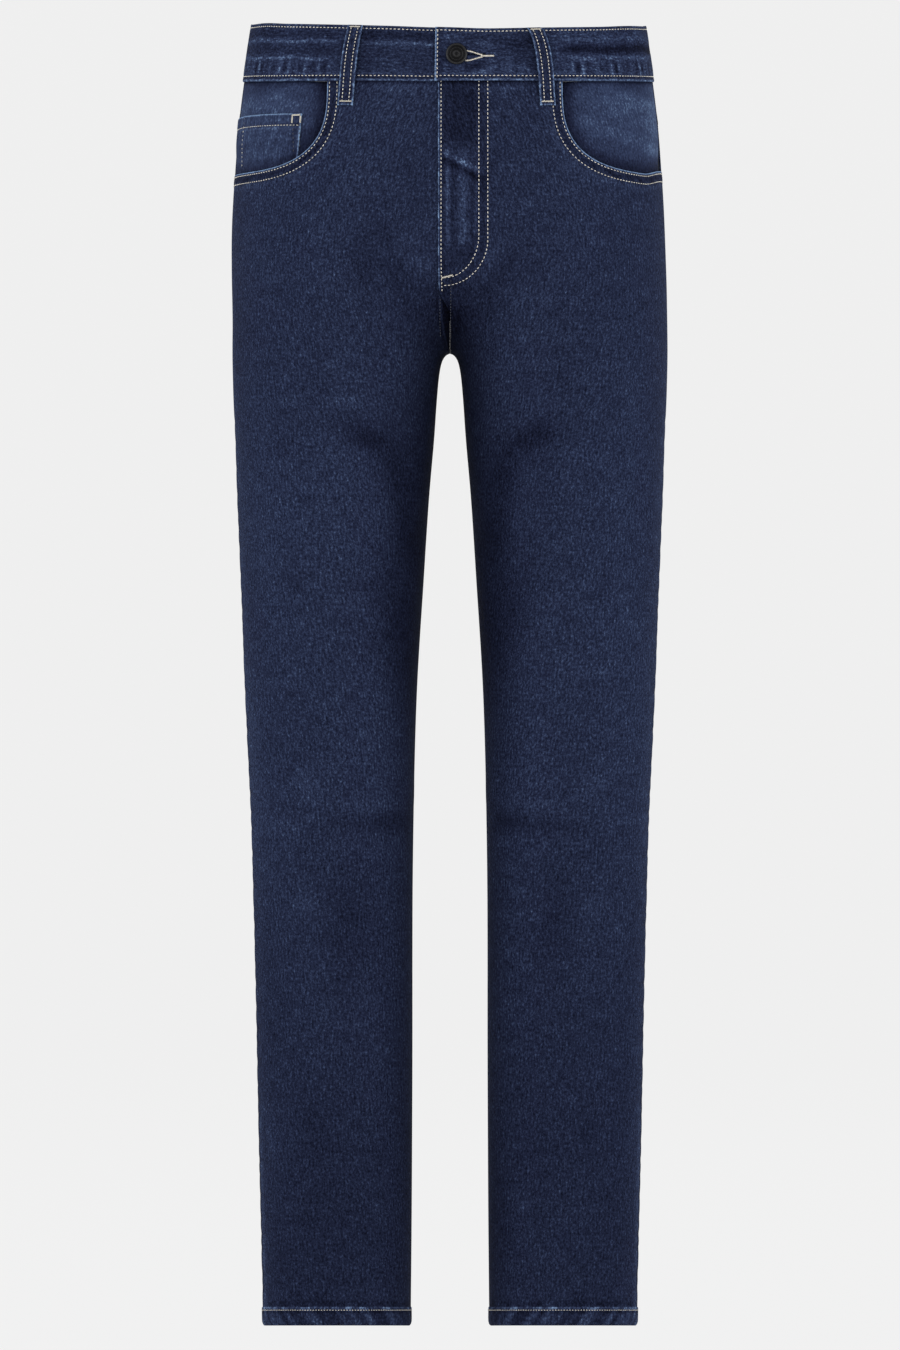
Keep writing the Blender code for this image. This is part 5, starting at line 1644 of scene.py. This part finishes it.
def band_surface(side, is_front, share, drop, offset):
    """Points and normals of the waistband. All are grids of one shape."""
    points, normals = np.zeros((*share.shape, 3)), np.zeros((*share.shape, 3))
    for half, chosen in ((FRONT, is_front), (BACK, ~is_front)):
        for way in (LEFT, RIGHT):
            own = chosen & (side == way)
            if not own.any():
                continue
            f = share[own]
            z = band_z(way, half, f, drop[own])
            base, normal = cloth_frame(way, half, f, z)
            points[own] = moved(base, normal, BAND_PROUD + offset[own])
            normals[own] = normal
    return points, normals


def band_relief(side, is_front, s, drop):
    """Rise and tone of the waistband: flattened ridges along it and puckers above its lower seam. The
    tone has painted highlights along both edges and on its ridges, puckers and creases, painted shade
    along the lower row and in its puckers, troughs and creases, and a darker zone beside the button.
    """
    right = is_front & (side == RIGHT)
    left = is_front & (side == LEFT)
    length_wave = waves(s + 400 * side, 31, (47.0, 71.0, 113.0))
    rise = outline_rounding(drop) + outline_rounding(BAND_HEIGHT - drop)
    rise = rise + ditch(drop, (BAND_TOP_ROW, BAND_HEIGHT - BAND_ROW))
    rise = rise + 0.12 * length_wave * bump(drop, 20.0, 10.0)
    foot = BAND_HEIGHT - drop
    tone = 0.52 + 0.03 * length_wave
    # Painted highlights along the top and lower edges, and painted shade along the lower row
    tone = tone + 0.10 * bump(drop, 0.4, 0.7) + 0.27 * bump(foot, 0.8, 0.9)
    tone = tone - 0.13 * bump(foot, 2.6, 0.9) + 0.07 * bump(foot, 5.6, 1.3)
    pinch = waves(s + 900.0 * side, 33, (7.3, 9.1, 12.7)) * bump(drop, 32.0, 5.0)
    beyond = step_between(s, 84.0, 100.0)
    rise = rise + 0.25 * pinch * np.where(is_front, 0.4 + 0.6 * beyond, 0.8)
    tone = tone + 0.32 * pinch * np.where(is_front, 0.25 + 0.75 * beyond, 0.6)
    waver = 0.9 * waves(s, 35, (37.0, 61.0))
    # Painted highlights and shade of creases along the band
    lines = 0.20 * bump(drop + waver, 12.5, 1.3) + 0.20 * bump(drop - waver, 25.2, 1.3)
    lines = lines - 0.09 * bump(drop, 7.5, 3.0) - 0.08 * bump(drop, 19.0, 4.0)
    tone = tone + np.where(right, lines * beyond, 0.0)
    band = bump(drop + waver, 17.5, 3.4)
    upper = 0.09 * bump(drop, 9.5, 3.0) + 0.15 * bump(drop - waver, 24.0, 1.8)
    tone = tone + np.where(left, (upper - 0.28 * band) * beyond, 0.0)
    rise = rise + np.where(left, -0.5 * band * beyond, 0.0)
    middle = 1 - step_between(s, 66.0, 80.0)
    dark = 0.13 * bump(drop, 13.0, 6.0) * step_between(s, 30.0, 44.0)
    tone = tone - np.where(left, dark * middle, 0.0)
    near = 0.20 * bump(drop + waver - 0.02 * s, 12.5, 1.3) - 0.14 * bump(drop, 7.0, 3.4)
    tone = tone + np.where(right, near * middle, 0.0)
    crease_rise, crease_tone = band_creases(s, drop)
    return rise + np.where(left, crease_rise, 0.0), tone + np.where(left, crease_tone, 0.0)


# Creases of the waistband beside the button: distance from the centre line and drop of the two
# ends, half the width, height of the ridge, and how much lighter it is painted, as painted highlight
# on the ridges and painted shade in the troughs
BAND_CREASES = (
    (-6, 4, 0, 12, 1.8, 0.2, 0.20),
    (-8, 22, -2, 27, 2.2, -0.2, -0.14),
    (14, 33, 30, 27, 2.2, -0.3, -0.22),
    (16, 37, 36, 32, 1.8, 0.2, 0.18),
    (24, 30, 38, 25, 2.0, 0.2, 0.12),
    (20, 12, 44, 15, 2.4, 0.2, 0.10),
    (12, 8, 40, 7, 2.4, -0.2, -0.12),
    (44, 30, 66, 34, 2.6, 0.2, 0.12),
)


def band_creases(s, drop):
    rise, tone = np.zeros(s.size), np.zeros(s.size)
    place = np.stack([s.ravel(), drop.ravel()], axis=1)
    for s0, drop0, s1, drop1, spread, height, lighter in BAND_CREASES:
        run = np.array([s1 - s0, drop1 - drop0])
        felt = segment_falloff(place - (s0, drop0), run, spread)
        rise += height * felt
        tone += lighter * felt
    return rise.reshape(s.shape), tone.reshape(s.shape)


# Between these drops, the waistband's rows follow the buttonhole
MIDDLE_DROPS = (12, 29)


def waistband(name, materials):
    side, is_front, share, front_mm, back_mm = band_columns()
    drops = from_edge(BAND_HEIGHT, 1.3)
    above, below = drops[drops <= MIDDLE_DROPS[0]], drops[drops >= MIDDLE_DROPS[1]]
    drops = np.concatenate([above, slot_rows(), below])
    shape = (len(drops), len(share))
    places = (side, is_front, share)
    side, is_front, share = (np.broadcast_to(a[None, :], shape).copy() for a in places)
    drop = np.broadcast_to(drops[:, None], shape).copy()
    s = share * np.where(is_front, front_mm, back_mm)
    lift = band_lift(side, is_front, s)
    rise, tone = band_relief(side, is_front, s, drop)
    end = np.where(is_front & (side == LEFT), s - BAND_END_X, 99.0)
    rise = rise + outline_rounding(end) + ditch(end, (BAND_END_ROW,))
    # Painted highlight along the left end's folded edge and painted shade along its row
    tone = tone + 0.42 * bump(end, 0.6, 0.9) - 0.10 * bump(end, 3.6, 1.8)
    outer, _ = band_surface(side, is_front, share, drop, lift + rise)
    inner, _ = band_surface(side, is_front, share, drop, lift - BAND_WALL)
    cell_s = (s[:-1, :-1] + s[:-1, 1:]) / 2
    cell_drop = (drop[:-1, :-1] + drop[1:, :-1]) / 2
    own = is_front[:-1, :-1] & (side[:-1, :-1] == LEFT)
    slot = np.abs(cell_drop - BUTTON_DROP) < SLOT_HALF
    slot = slot & (cell_s > BUTTON_S - 3) & (cell_s < SLOT_END_S)
    run = np.where(is_front, s, front_mm + back_mm - s)
    weave = weave_places(drop + WEAVE_AT["band"], run * side)
    return finish_cloth(name, outer, inner, materials, weave, tone, slot & own)


def slot_rows():
    """Drops of the waistband's middle rows, with the buttonhole's edges among them."""
    upper = np.linspace(12.5, BUTTON_DROP - SLOT_HALF, 7)
    lower = np.linspace(BUTTON_DROP + SLOT_HALF, 28.5, 7)
    return np.concatenate([upper, [BUTTON_DROP], lower])


def loop_grid(name):
    side, half, top_s, foot_s, turn = LOOPS[name]
    first, last = LOOP_PROFILE[0][0], LOOP_PROFILE[-1][0]
    down = from_edge(last - first, 1.6) + first
    share = (down - first) / (last - first)
    middle = top_s + (foot_s - top_s) * share**turn
    across = np.array([0, 0.35, 0.8, 1.4, 2.1, 2.8, 3.5, 4.2, 5.2, 6.25])
    across = np.concatenate([across - LOOP_WIDTH / 2, (LOOP_WIDTH / 2 - across)[::-1][1:]])
    s = middle[:, None] + across[None, :]
    f = s / half_length(half, -down)[:, None]
    z = waist_z(half, f) - down[:, None] + band_rise(side, half, f) * (1 - share[:, None])
    stand_off = smooth_read(LOOP_TABLE["drop"], LOOP_TABLE["stand_off"], down)
    return side, half, f, z, stand_off, across, down


def belt_loop(name, materials):
    side, half, f, z, stand_off, across, down = loop_grid(name)
    base, normal = cloth_frame(side, half, f, z)
    edge = (LOOP_WIDTH / 2 - np.abs(across))[None, :] + 0 * f
    rise = ditch(edge, (LOOP_ROW,), 0.9, 0.25) - 0.3 * step_between(edge, 4.2, 6.0)
    rise = rise + outline_rounding(edge)
    run = down[:, None] + 0 * f
    # Painted highlights along the edges and at the folded ends, painted shade along the rows, and the
    # painted light and shade of puckers beside the edges
    tone = 0.46 + 0.36 * bump(edge, 0.5, 0.9) - 0.07 * bump(edge, 2.2, 0.9)
    tone = tone + 0.09 * waves(run, 41 + len(name), (7.0, 11.0, 17.0)) * bump(edge, 5.8, 1.6)
    puckers = waves(run + 60 * np.sign(across)[None, :], 43, (5.3, 8.1))
    tone = tone + 0.07 * puckers * bump(edge, 1.6, 1.2)
    tone = tone + 0.26 * bump(run, down[-1] - 0.4, 0.7) + 0.10 * bump(run, down[0] + 0.4, 0.8)
    outer = moved(base, normal, stand_off[:, None] + LOOP_WALL + rise)
    inner = moved(base, normal, stand_off[:, None] + 0 * f)
    weave = weave_places(across[None, :] + 0 * f + WEAVE_AT["loop"], -down[:, None] + 0 * f)
    return finish_cloth(name, outer, inner, materials, weave, tone)


def button(name, material):
    """A shank button with raised rings round a small centre."""
    share = np.array([BUTTON_S / half_length(FRONT, -BUTTON_DROP)])
    z = band_z(LEFT, FRONT, share, BUTTON_DROP)
    seat, axis = (a[0] for a in cloth_frame(LEFT, FRONT, share, z))
    side_way = np.cross((0.0, 0.0, 1.0), axis)
    side_way /= np.linalg.norm(side_way)
    up = np.cross(axis, side_way)
    foot = BAND_PROUD - BAND_SINK + SEAM_GAP
    under = BAND_PROUD + BAND_LIFT + SEAM_GAP
    r = BUTTON_RADIUS
    # Radius, height and wear of each ring of the profile
    profile = (
        (0.01, foot, 0.3),
        (SHANK_RADIUS, foot, 0.3),
        (SHANK_RADIUS, under, 0.3),
        (r - 1.1, under, 0.3),
        (r - 0.35, under + 0.25, 0.4),
        (r, under + 0.8, 0.6),
        (r, under + 1.5, 0.62),
        (r - 0.35, under + 2.05, 0.7),
        (r - 0.9, under + 2.35, 0.66),
        (r - 1.5, under + 2.4, 0.55),
        (r - 2.0, under + 2.2, 0.4),
        (r - 2.5, under + 1.75, 0.25),
        (r - 3.1, under + 1.7, 0.3),
        (r - 3.4, under + 1.95, 0.55),
        (r - 3.75, under + 2.0, 0.6),
        (r - 4.1, under + 1.85, 0.4),
        (r - 4.5, under + 1.6, 0.25),
        (r * 0.42, under + 1.65, 0.3),
        (r * 0.36, under + 2.0, 0.5),
        (r * 0.30, under + 2.3, 0.62),
        (r * 0.18, under + 2.35, 0.6),
        (r * 0.12, under + 2.15, 0.3),
        (0.01, under + 2.1, 0.3),
    )
    turns = np.linspace(0.0, 2 * math.pi, 64, endpoint=False)
    ring = np.cos(turns)[:, None] * side_way + np.sin(turns)[:, None] * up
    grid = np.stack([seat + axis * h + ring * radius for radius, h, _ in profile])
    wear = np.array([[w] * len(turns) for _, _, w in profile])
    index = numbered(*grid.shape[:2])
    faces = quads(np.concatenate([index, index[:, :1]], axis=1))
    made = mesh_object(
        f"{name}_metal", grid.reshape(-1, 3), faces, [material], fields={"tone": wear.ravel()}
    )
    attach(made, "root")
    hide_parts(name)
    return made


# Rows of stitches


def line_on(relief, side, f, z):
    """Points and normals of a line on the cloth that has the relief: the front's, the back's or
    the yoke's."""
    base, normal = cloth_frame(side, FRONT if relief is front_offset else BACK, f, z)
    rise, _ = relief(side, f, z)
    return moved(base, normal, rise), normal


def beside(half, f, z, distance):
    """The line that runs at a distance to the right of another on the cloth."""
    s = f * half_length(half, z)
    run = np.stack([np.gradient(s), np.gradient(z)], axis=1)
    run /= np.linalg.norm(run, axis=1)[:, None]
    s, z = s + run[:, 1] * distance, z - run[:, 0] * distance
    return s / half_length(half, z), z


def at_s(half, s, z):
    s, z = np.broadcast_arrays(np.asarray(s, float), np.asarray(z, float))
    return s / half_length(half, z), z.copy()


def mouth_line(side):
    shares, mouth = mouth_columns(side)
    return shares, with_waist_tilt(FRONT, shares, mouth)


def fly_rows():
    """Rows of the fly on the left front: its edge, and the two of the J."""
    z = np.linspace(FRONT_ROWS_TOP_Z, FLY_EDGE_ENDS_Z - 2.0, 100)
    rows = [line_on(front_offset, LEFT, *at_s(FRONT, FLY_EDGE_X + FLY_ROW, z))]
    turn = np.linspace(0.0, math.pi / 2, 40)[1:]
    for straight_x, curve_z, foot_z in FLY_CURVED_ROWS:
        z = np.linspace(FRONT_ROWS_TOP_Z, curve_z, 60)
        low = curve_z + (foot_z - curve_z) * np.sin(turn)
        inwards = FLY_ROWS_END_S + (straight_x - FLY_ROWS_END_S) * np.cos(turn) ** 0.9
        s = np.concatenate([np.full(60, straight_x), inwards])
        rows.append(line_on(front_offset, LEFT, *at_s(FRONT, s, np.concatenate([z, low]))))
    return rows


def crotch_rows(side):
    """The dim row on one side of the seam below the fly."""
    x, top_z = CROTCH_ROWS[side]
    z = np.linspace(top_z, CROTCH_ROWS_FOOT_Z, 30)
    return [line_on(front_offset, side, share_at_x(FRONT, x, z), z)]


def fly_tacks():
    """The bar tack that lies along the end of the fly's inner curved row."""
    s, z = np.array(FLY_TACK)
    line, normals = line_on(front_offset, LEFT, *at_s(FRONT, s, z))
    place = line.mean(axis=0) + normals[0] * 0.2
    return [bar_tack(place, line[1] - line[0], normals[0], 9.4, 1.3)]


def mouth_rows(side):
    f, z = mouth_line(side)
    return [line_on(front_offset, side, *beside(FRONT, f, z, d)) for d in (EDGE_ROW, SECOND_ROW)]


def hem_stitches(side, half):
    """The hem's row of short thin stitches."""
    f = np.linspace(0.004, 0.996, 200)
    z = np.full(200, HEM_Z + HEM_ROW)
    if half == FRONT:
        row = line_on(front_offset, side, f, z + hem_rise(f))
    else:
        row = line_on(back_offset, side, f, z)
    return stitches([row], 2.3, 1.4, 0.55)


def yoke_rows(side):
    f = np.linspace(0.01, 0.992, 120)
    rows = [line_on(yoke_offset, side, f, yoke_z(f) + d) for d in YOKE_ROWS]
    if side == LEFT:
        z = np.linspace(-52.0, YOKE_CENTRE_Z + 2, 40)
        rows += [line_on(yoke_offset, LEFT, *at_s(BACK, d, z)) for d in RISE_ROWS]
    return rows


def rise_rows():
    z = np.linspace(YOKE_CENTRE_Z - 2, CROTCH_Z + 12, 80)
    return [line_on(back_offset, LEFT, *at_s(BACK, d, z)) for d in RISE_ROWS]


def coin_rows():
    """Two rows down the coin pocket's edge and one under its folded top."""
    f, z = coin_grid(RIGHT)
    length = half_length(FRONT, z)
    s0 = (f * length)[0, 0]
    rows = []

    def on_coin(row_f, row_z):
        base, normal = cloth_frame(RIGHT, FRONT, row_f, row_z)
        under = facing_offset(RIGHT, row_f, row_z) + PATCH_GAP + FACING_WALL
        return moved(base, normal, under - 0.15), normal

    for d in COIN_ROWS:
        low = mouth_drop(RIGHT, COIN_EDGE_X + d) + 2
        down = np.linspace(COIN_TOP_Z - COIN_TILT - 1, low, 30)
        rows.append(on_coin(*at_s(FRONT, s0 + d, down)))
    down = np.linspace(COIN_TOP_Z - 1, MOUTH_SIDE_Z[RIGHT] + 3, 30)
    rows.append(on_coin(*at_s(FRONT, half_length(FRONT, down) - COIN_SIDE_ROW, down)))
    across, _ = at_s(FRONT, np.linspace(s0 + 1, f[0, -1] * length[0, -1] - 2, 60), COIN_TOP_Z)
    rows.append(on_coin(across, coin_top(across) - COIN_HEM))
    return rows


def coin_tacks():
    """Bar tacks at the coin pocket's upper corner: one across and two down from its ends."""
    f, z = coin_grid(RIGHT)
    s0 = (f * half_length(FRONT, z))[0, 0]
    groups = []
    for s, drop, way, length in ((5.0, 1.2, 0, 8.4), (1.2, 4.6, 1, 6.0), (8.8, 4.6, 1, 6.0)):
        f, z = at_s(FRONT, np.array([s0 + s]), np.array([COIN_TOP_Z - COIN_TILT - drop]))
        base, normal = cloth_frame(RIGHT, FRONT, f, z)
        over = facing_offset(RIGHT, f, z)[0] + PATCH_GAP + FACING_WALL + 0.2
        place = base[0] + normal[0] * over
        across = np.cross((0.0, 0.0, 1.0), normal[0])
        line = np.cross(normal[0], across) if way else across
        groups.append(bar_tack(place, line, normal[0], length, 1.3))
    return groups


def pocket_rows(side):
    """Rows on a back pocket: two round its sewn edge and two under its folded top."""
    middle = POCKET_FROM_OUTSEAM + POCKET_TOP_WIDTH / 2
    rows = []

    def on_pocket(u, row_z):
        row_f = 1 - u / half_length(BACK, row_z)
        base, normal = cloth_frame(side, BACK, row_f, row_z)
        rise, _ = back_offset(side, row_f, row_z)
        share = (POCKET_TOP_Z - row_z) / POCKET_TIP
        bulge = 0.5 * np.sin(math.pi * share.clip(0, 1)) * np.cos((u - middle) / 74 * math.pi / 2)
        return moved(base, normal, rise + PATCH_GAP + PATCH_WALL + bulge - 0.15), normal

    for inset in POCKET_EDGE_ROWS:
        top, low = POCKET_TOP_WIDTH / 2 - inset, POCKET_LOW_WIDTH / 2 - inset
        rise = POCKET_TOP_TILT / 2
        corners = [
            (middle - top, POCKET_TOP_Z + rise),
            (middle - low, POCKET_TOP_Z - POCKET_SIDE + rise + inset * 0.4),
            (middle, POCKET_TOP_Z - POCKET_TIP + inset * 1.1),
            (middle + low, POCKET_TOP_Z - POCKET_SIDE - rise + inset * 0.4),
            (middle + top, POCKET_TOP_Z - rise),
        ]
        for (u0, z0), (u1, z1) in zip(corners, corners[1:]):
            t = np.linspace(0.0, 1.0, 50)
            rows.append(on_pocket(u0 + (u1 - u0) * t, z0 + (z1 - z0) * t))
    for drop in POCKET_TOP_ROWS:
        t = np.linspace(-1.0, 1.0, 60) * (POCKET_TOP_WIDTH / 2 - 2.5)
        level = POCKET_TOP_Z - POCKET_TOP_TILT * t / POCKET_TOP_WIDTH - drop
        rows.append(on_pocket(middle + t, level))
    return rows


def band_rows():
    """Rows along the waistband's top and bottom, down its left end, and on its loops' backs."""
    side, is_front, share, front_mm, back_mm = band_columns()
    rows = []

    def on_band(chosen, drop):
        shape = share[chosen].shape
        drops = np.broadcast_to(np.asarray(drop, float), shape).copy()
        s = share[chosen] * np.where(is_front[chosen], front_mm, back_mm)
        lift = band_lift(side[chosen], is_front[chosen], s)
        rise, _ = band_relief(side[chosen], is_front[chosen], s, drops)
        return band_surface(side[chosen], is_front[chosen], share[chosen], drops, lift + rise)

    ends = (side == RIGHT) & is_front & (share * front_mm < BAND_END_X + 1)
    for drop in (BAND_TOP_ROW, BAND_HEIGHT - BAND_ROW):
        rows.append(on_band(~ends, drop))
    drops = np.linspace(1.5, BAND_HEIGHT - 1.5, 30)
    s = np.full(30, BAND_END_X + BAND_END_ROW)
    left, front = np.full(30, LEFT), np.ones(30, bool)
    lift = band_lift(left, front, s) - 0.2
    rows.append(band_surface(left, front, s / front_mm, drops, lift))
    return rows


def buttonhole():
    """Thread round the buttonhole: two legs that run together into a bar."""
    front_mm = half_length(FRONT, -BAND_HEIGHT / 2)
    groups = []

    def on_band(s, drop, lift=0.0):
        left, front = np.full(len(s), LEFT), np.ones(len(s), bool)
        offset = band_lift(left, front, s) + lift
        return band_surface(left, front, s / front_mm, drop, offset)

    s = np.linspace(12.0, 25.5, 24)
    for way in (-1, 1):
        gap = 3.1 * (1 - step_between(s, 13.0, 27.0)) + 0.75
        points, normals = on_band(s, BUTTON_DROP + 1.2 + way * gap)
        groups.append(stitches([(points, normals)], 1.1, 1.5, 1.15, seed=5))
        groups.append(stitches([(points, normals)], 2.1, 2.2, 0.8, seed=6))
    s = np.linspace(24.5, 34.5, 16)
    points, normals = on_band(s, np.full(16, BUTTON_DROP + 1.2))
    groups.append(stitches([(points, normals)], 0.9, 1.6, 1.35, seed=7))
    return groups


def loop_rows(name):
    side, half, f, z, stand_off, across, down = loop_grid(name)
    groups, rows = [], []
    base, normal = cloth_frame(side, half, f, z)
    top = moved(base, normal, stand_off[:, None] + LOOP_WALL - 0.2 + 0 * f)
    for way in (-1, 1):
        k = int(np.argmin(np.abs(across - way * (LOOP_WIDTH / 2 - LOOP_ROW))))
        rows.append((top[3:-4, k], normal[3:-4, k]))
    groups.append(stitches(rows, 2.9, 1.9, 0.72))
    middle = len(across) // 2
    for drop, length in ((down[0] + LOOP_TACK_TOP, 9.0), (down[-1] - LOOP_TACK_FOOT, 10.5)):
        k = int(np.argmin(np.abs(down - drop)))
        line = top[k, -1] - top[k, 0]
        place = top[k, middle] + normal[k, middle] * 0.25
        groups.append(bar_tack(place, line, normal[k, middle], length, 1.05))
    return groups


# Floor, light and camera


def stage():
    """A pale floor that curves up into a backdrop."""
    bend_y, bend = 13.0, 3.0
    profile = [(-6.0, 0.0), (bend_y, 0.0)]
    turn = np.linspace(0.0, math.pi / 2, 24)[1:]
    profile += [(bend_y + bend * math.sin(t), bend * (1 - math.cos(t))) for t in turn]
    profile += [(bend_y + bend, 24.0)]
    across = np.linspace(-36.0, 36.0, 5)
    grid = np.array([[(x, y, z + FLOOR_Z * M_PER_MM) for x in across] for y, z in profile])
    index = numbered(*grid.shape[:2])
    made = mesh_object("floor", grid.reshape(-1, 3) / M_PER_MM, quads(index), [paper("studio_paper")])


def area_light(name, place, aim, size, power, colour=(1.0, 1.0, 1.0)):
    data = bpy.data.lights.new(name, "AREA")
    data.shape = "RECTANGLE"
    data.size, data.size_y = size
    data.energy = power
    data.color = colour
    lamp = bpy.data.objects.new(name, data)
    lamp.location = place
    lamp.rotation_euler = (Vector(aim) - Vector(place)).to_track_quat("-Z", "Y").to_euler()
    bpy.context.scene.collection.objects.link(lamp)


SIDE_COLOUR = (0.84, 0.92, 1.0)


def lights():
    world = bpy.data.worlds.new("studio")
    world.use_nodes = True
    world.node_tree.nodes["Background"].inputs["Color"].default_value = (1.0, 1.0, 1.0, 1.0)
    world.node_tree.nodes["Background"].inputs["Strength"].default_value = 0.70
    bpy.context.scene.world = world
    middle = (0.0, 0.0, -0.5)
    area_light("key", (-1.6, -3.4, 1.2), middle, (2.2, 2.2), 50.0)
    area_light("fill", (1.9, -3.2, 0.4), middle, (2.2, 2.6), 34.0)
    for name, way in (("left_side", 1), ("right_side", -1)):
        area_light(name, (way * 3.0, -0.7, -0.3), middle, (1.8, 2.2), 42.0, SIDE_COLOUR)
    area_light("behind", (1.2, 3.4, 1.9), middle, (2.4, 1.6), 20.0)


def camera():
    data = bpy.data.cameras.new("camera")
    data.sensor_fit = "VERTICAL"
    data.sensor_height = SENSOR
    data.sensor_width = SENSOR
    data.lens = SENSOR * CAMERA_DISTANCE / VIEW_HEIGHT
    data.clip_end = 100.0
    made = bpy.data.objects.new("camera", data)
    made.location = (0.0, -CAMERA_DISTANCE * M_PER_MM, CAMERA_Z * M_PER_MM)
    made.rotation_euler = (math.pi / 2, 0.0, 0.0)
    bpy.context.scene.collection.objects.link(made)
    bpy.context.scene.camera = made


THREAD = thread("ecru_thread")


def main():
    bpy.context.scene.view_settings.view_transform = "Standard"
    cloth = [denim("indigo_denim"), denim("denim_reverse", INSIDE_OUT)]
    worn = [denim("worn_denim", grain=0.8), cloth[1]]
    dim_thread = thread("indigo_thread", DIM)
    camera()
    stage()
    lights()
    for side, word in ((LEFT, "left"), (RIGHT, "right")):
        front_panel(side, f"front_{word}", cloth)
        back_panel(side, f"back_{word}", cloth)
        yoke(side, f"yoke_{word}", cloth)
        pocket_facing(side, f"pocket_facing_{word}", worn)
        back_pocket(side, f"back_pocket_{word}", cloth)
        groups = [stitches(mouth_rows(side), width=0.70), hem_stitches(side, FRONT)]
        if side == LEFT:
            groups += [stitches(fly_rows()), *fly_tacks()]
        stitch_object(f"front_{word}_stitches", groups)
        groups = [stitches(crotch_rows(side), width=0.7, length=1.9)]
        stitch_object(f"crotch_{word}_stitches", groups, dim_thread)
        groups = [hem_stitches(side, BACK)]
        if side == LEFT:
            groups.append(stitches(rise_rows()))
        stitch_object(f"back_{word}_stitches", groups)
        stitch_object(f"yoke_{word}_stitches", [stitches(yoke_rows(side))])
        stitch_object(f"back_pocket_{word}_stitches", [stitches(pocket_rows(side))])
    coin_pocket(RIGHT, "coin_pocket", worn)
    rows = coin_rows()
    coin_threads = [stitches(rows[2:], 3.2, 2.1, 0.6), *coin_tacks()]
    stitch_object("coin_pocket_stitches", coin_threads)
    stitch_object("coin_pocket_side_stitches", [stitches(rows[:2], 3.2, 2.1, 0.6)], dim_thread)
    waistband("waistband", cloth)
    stitch_object("waistband_stitches", [stitches(band_rows()), *buttonhole()])
    for name in LOOPS:
        belt_loop(name, cloth)
        stitch_object(f"{name}_stitches", loop_rows(name))
    button("button", gunmetal("blackened_metal"))


main()
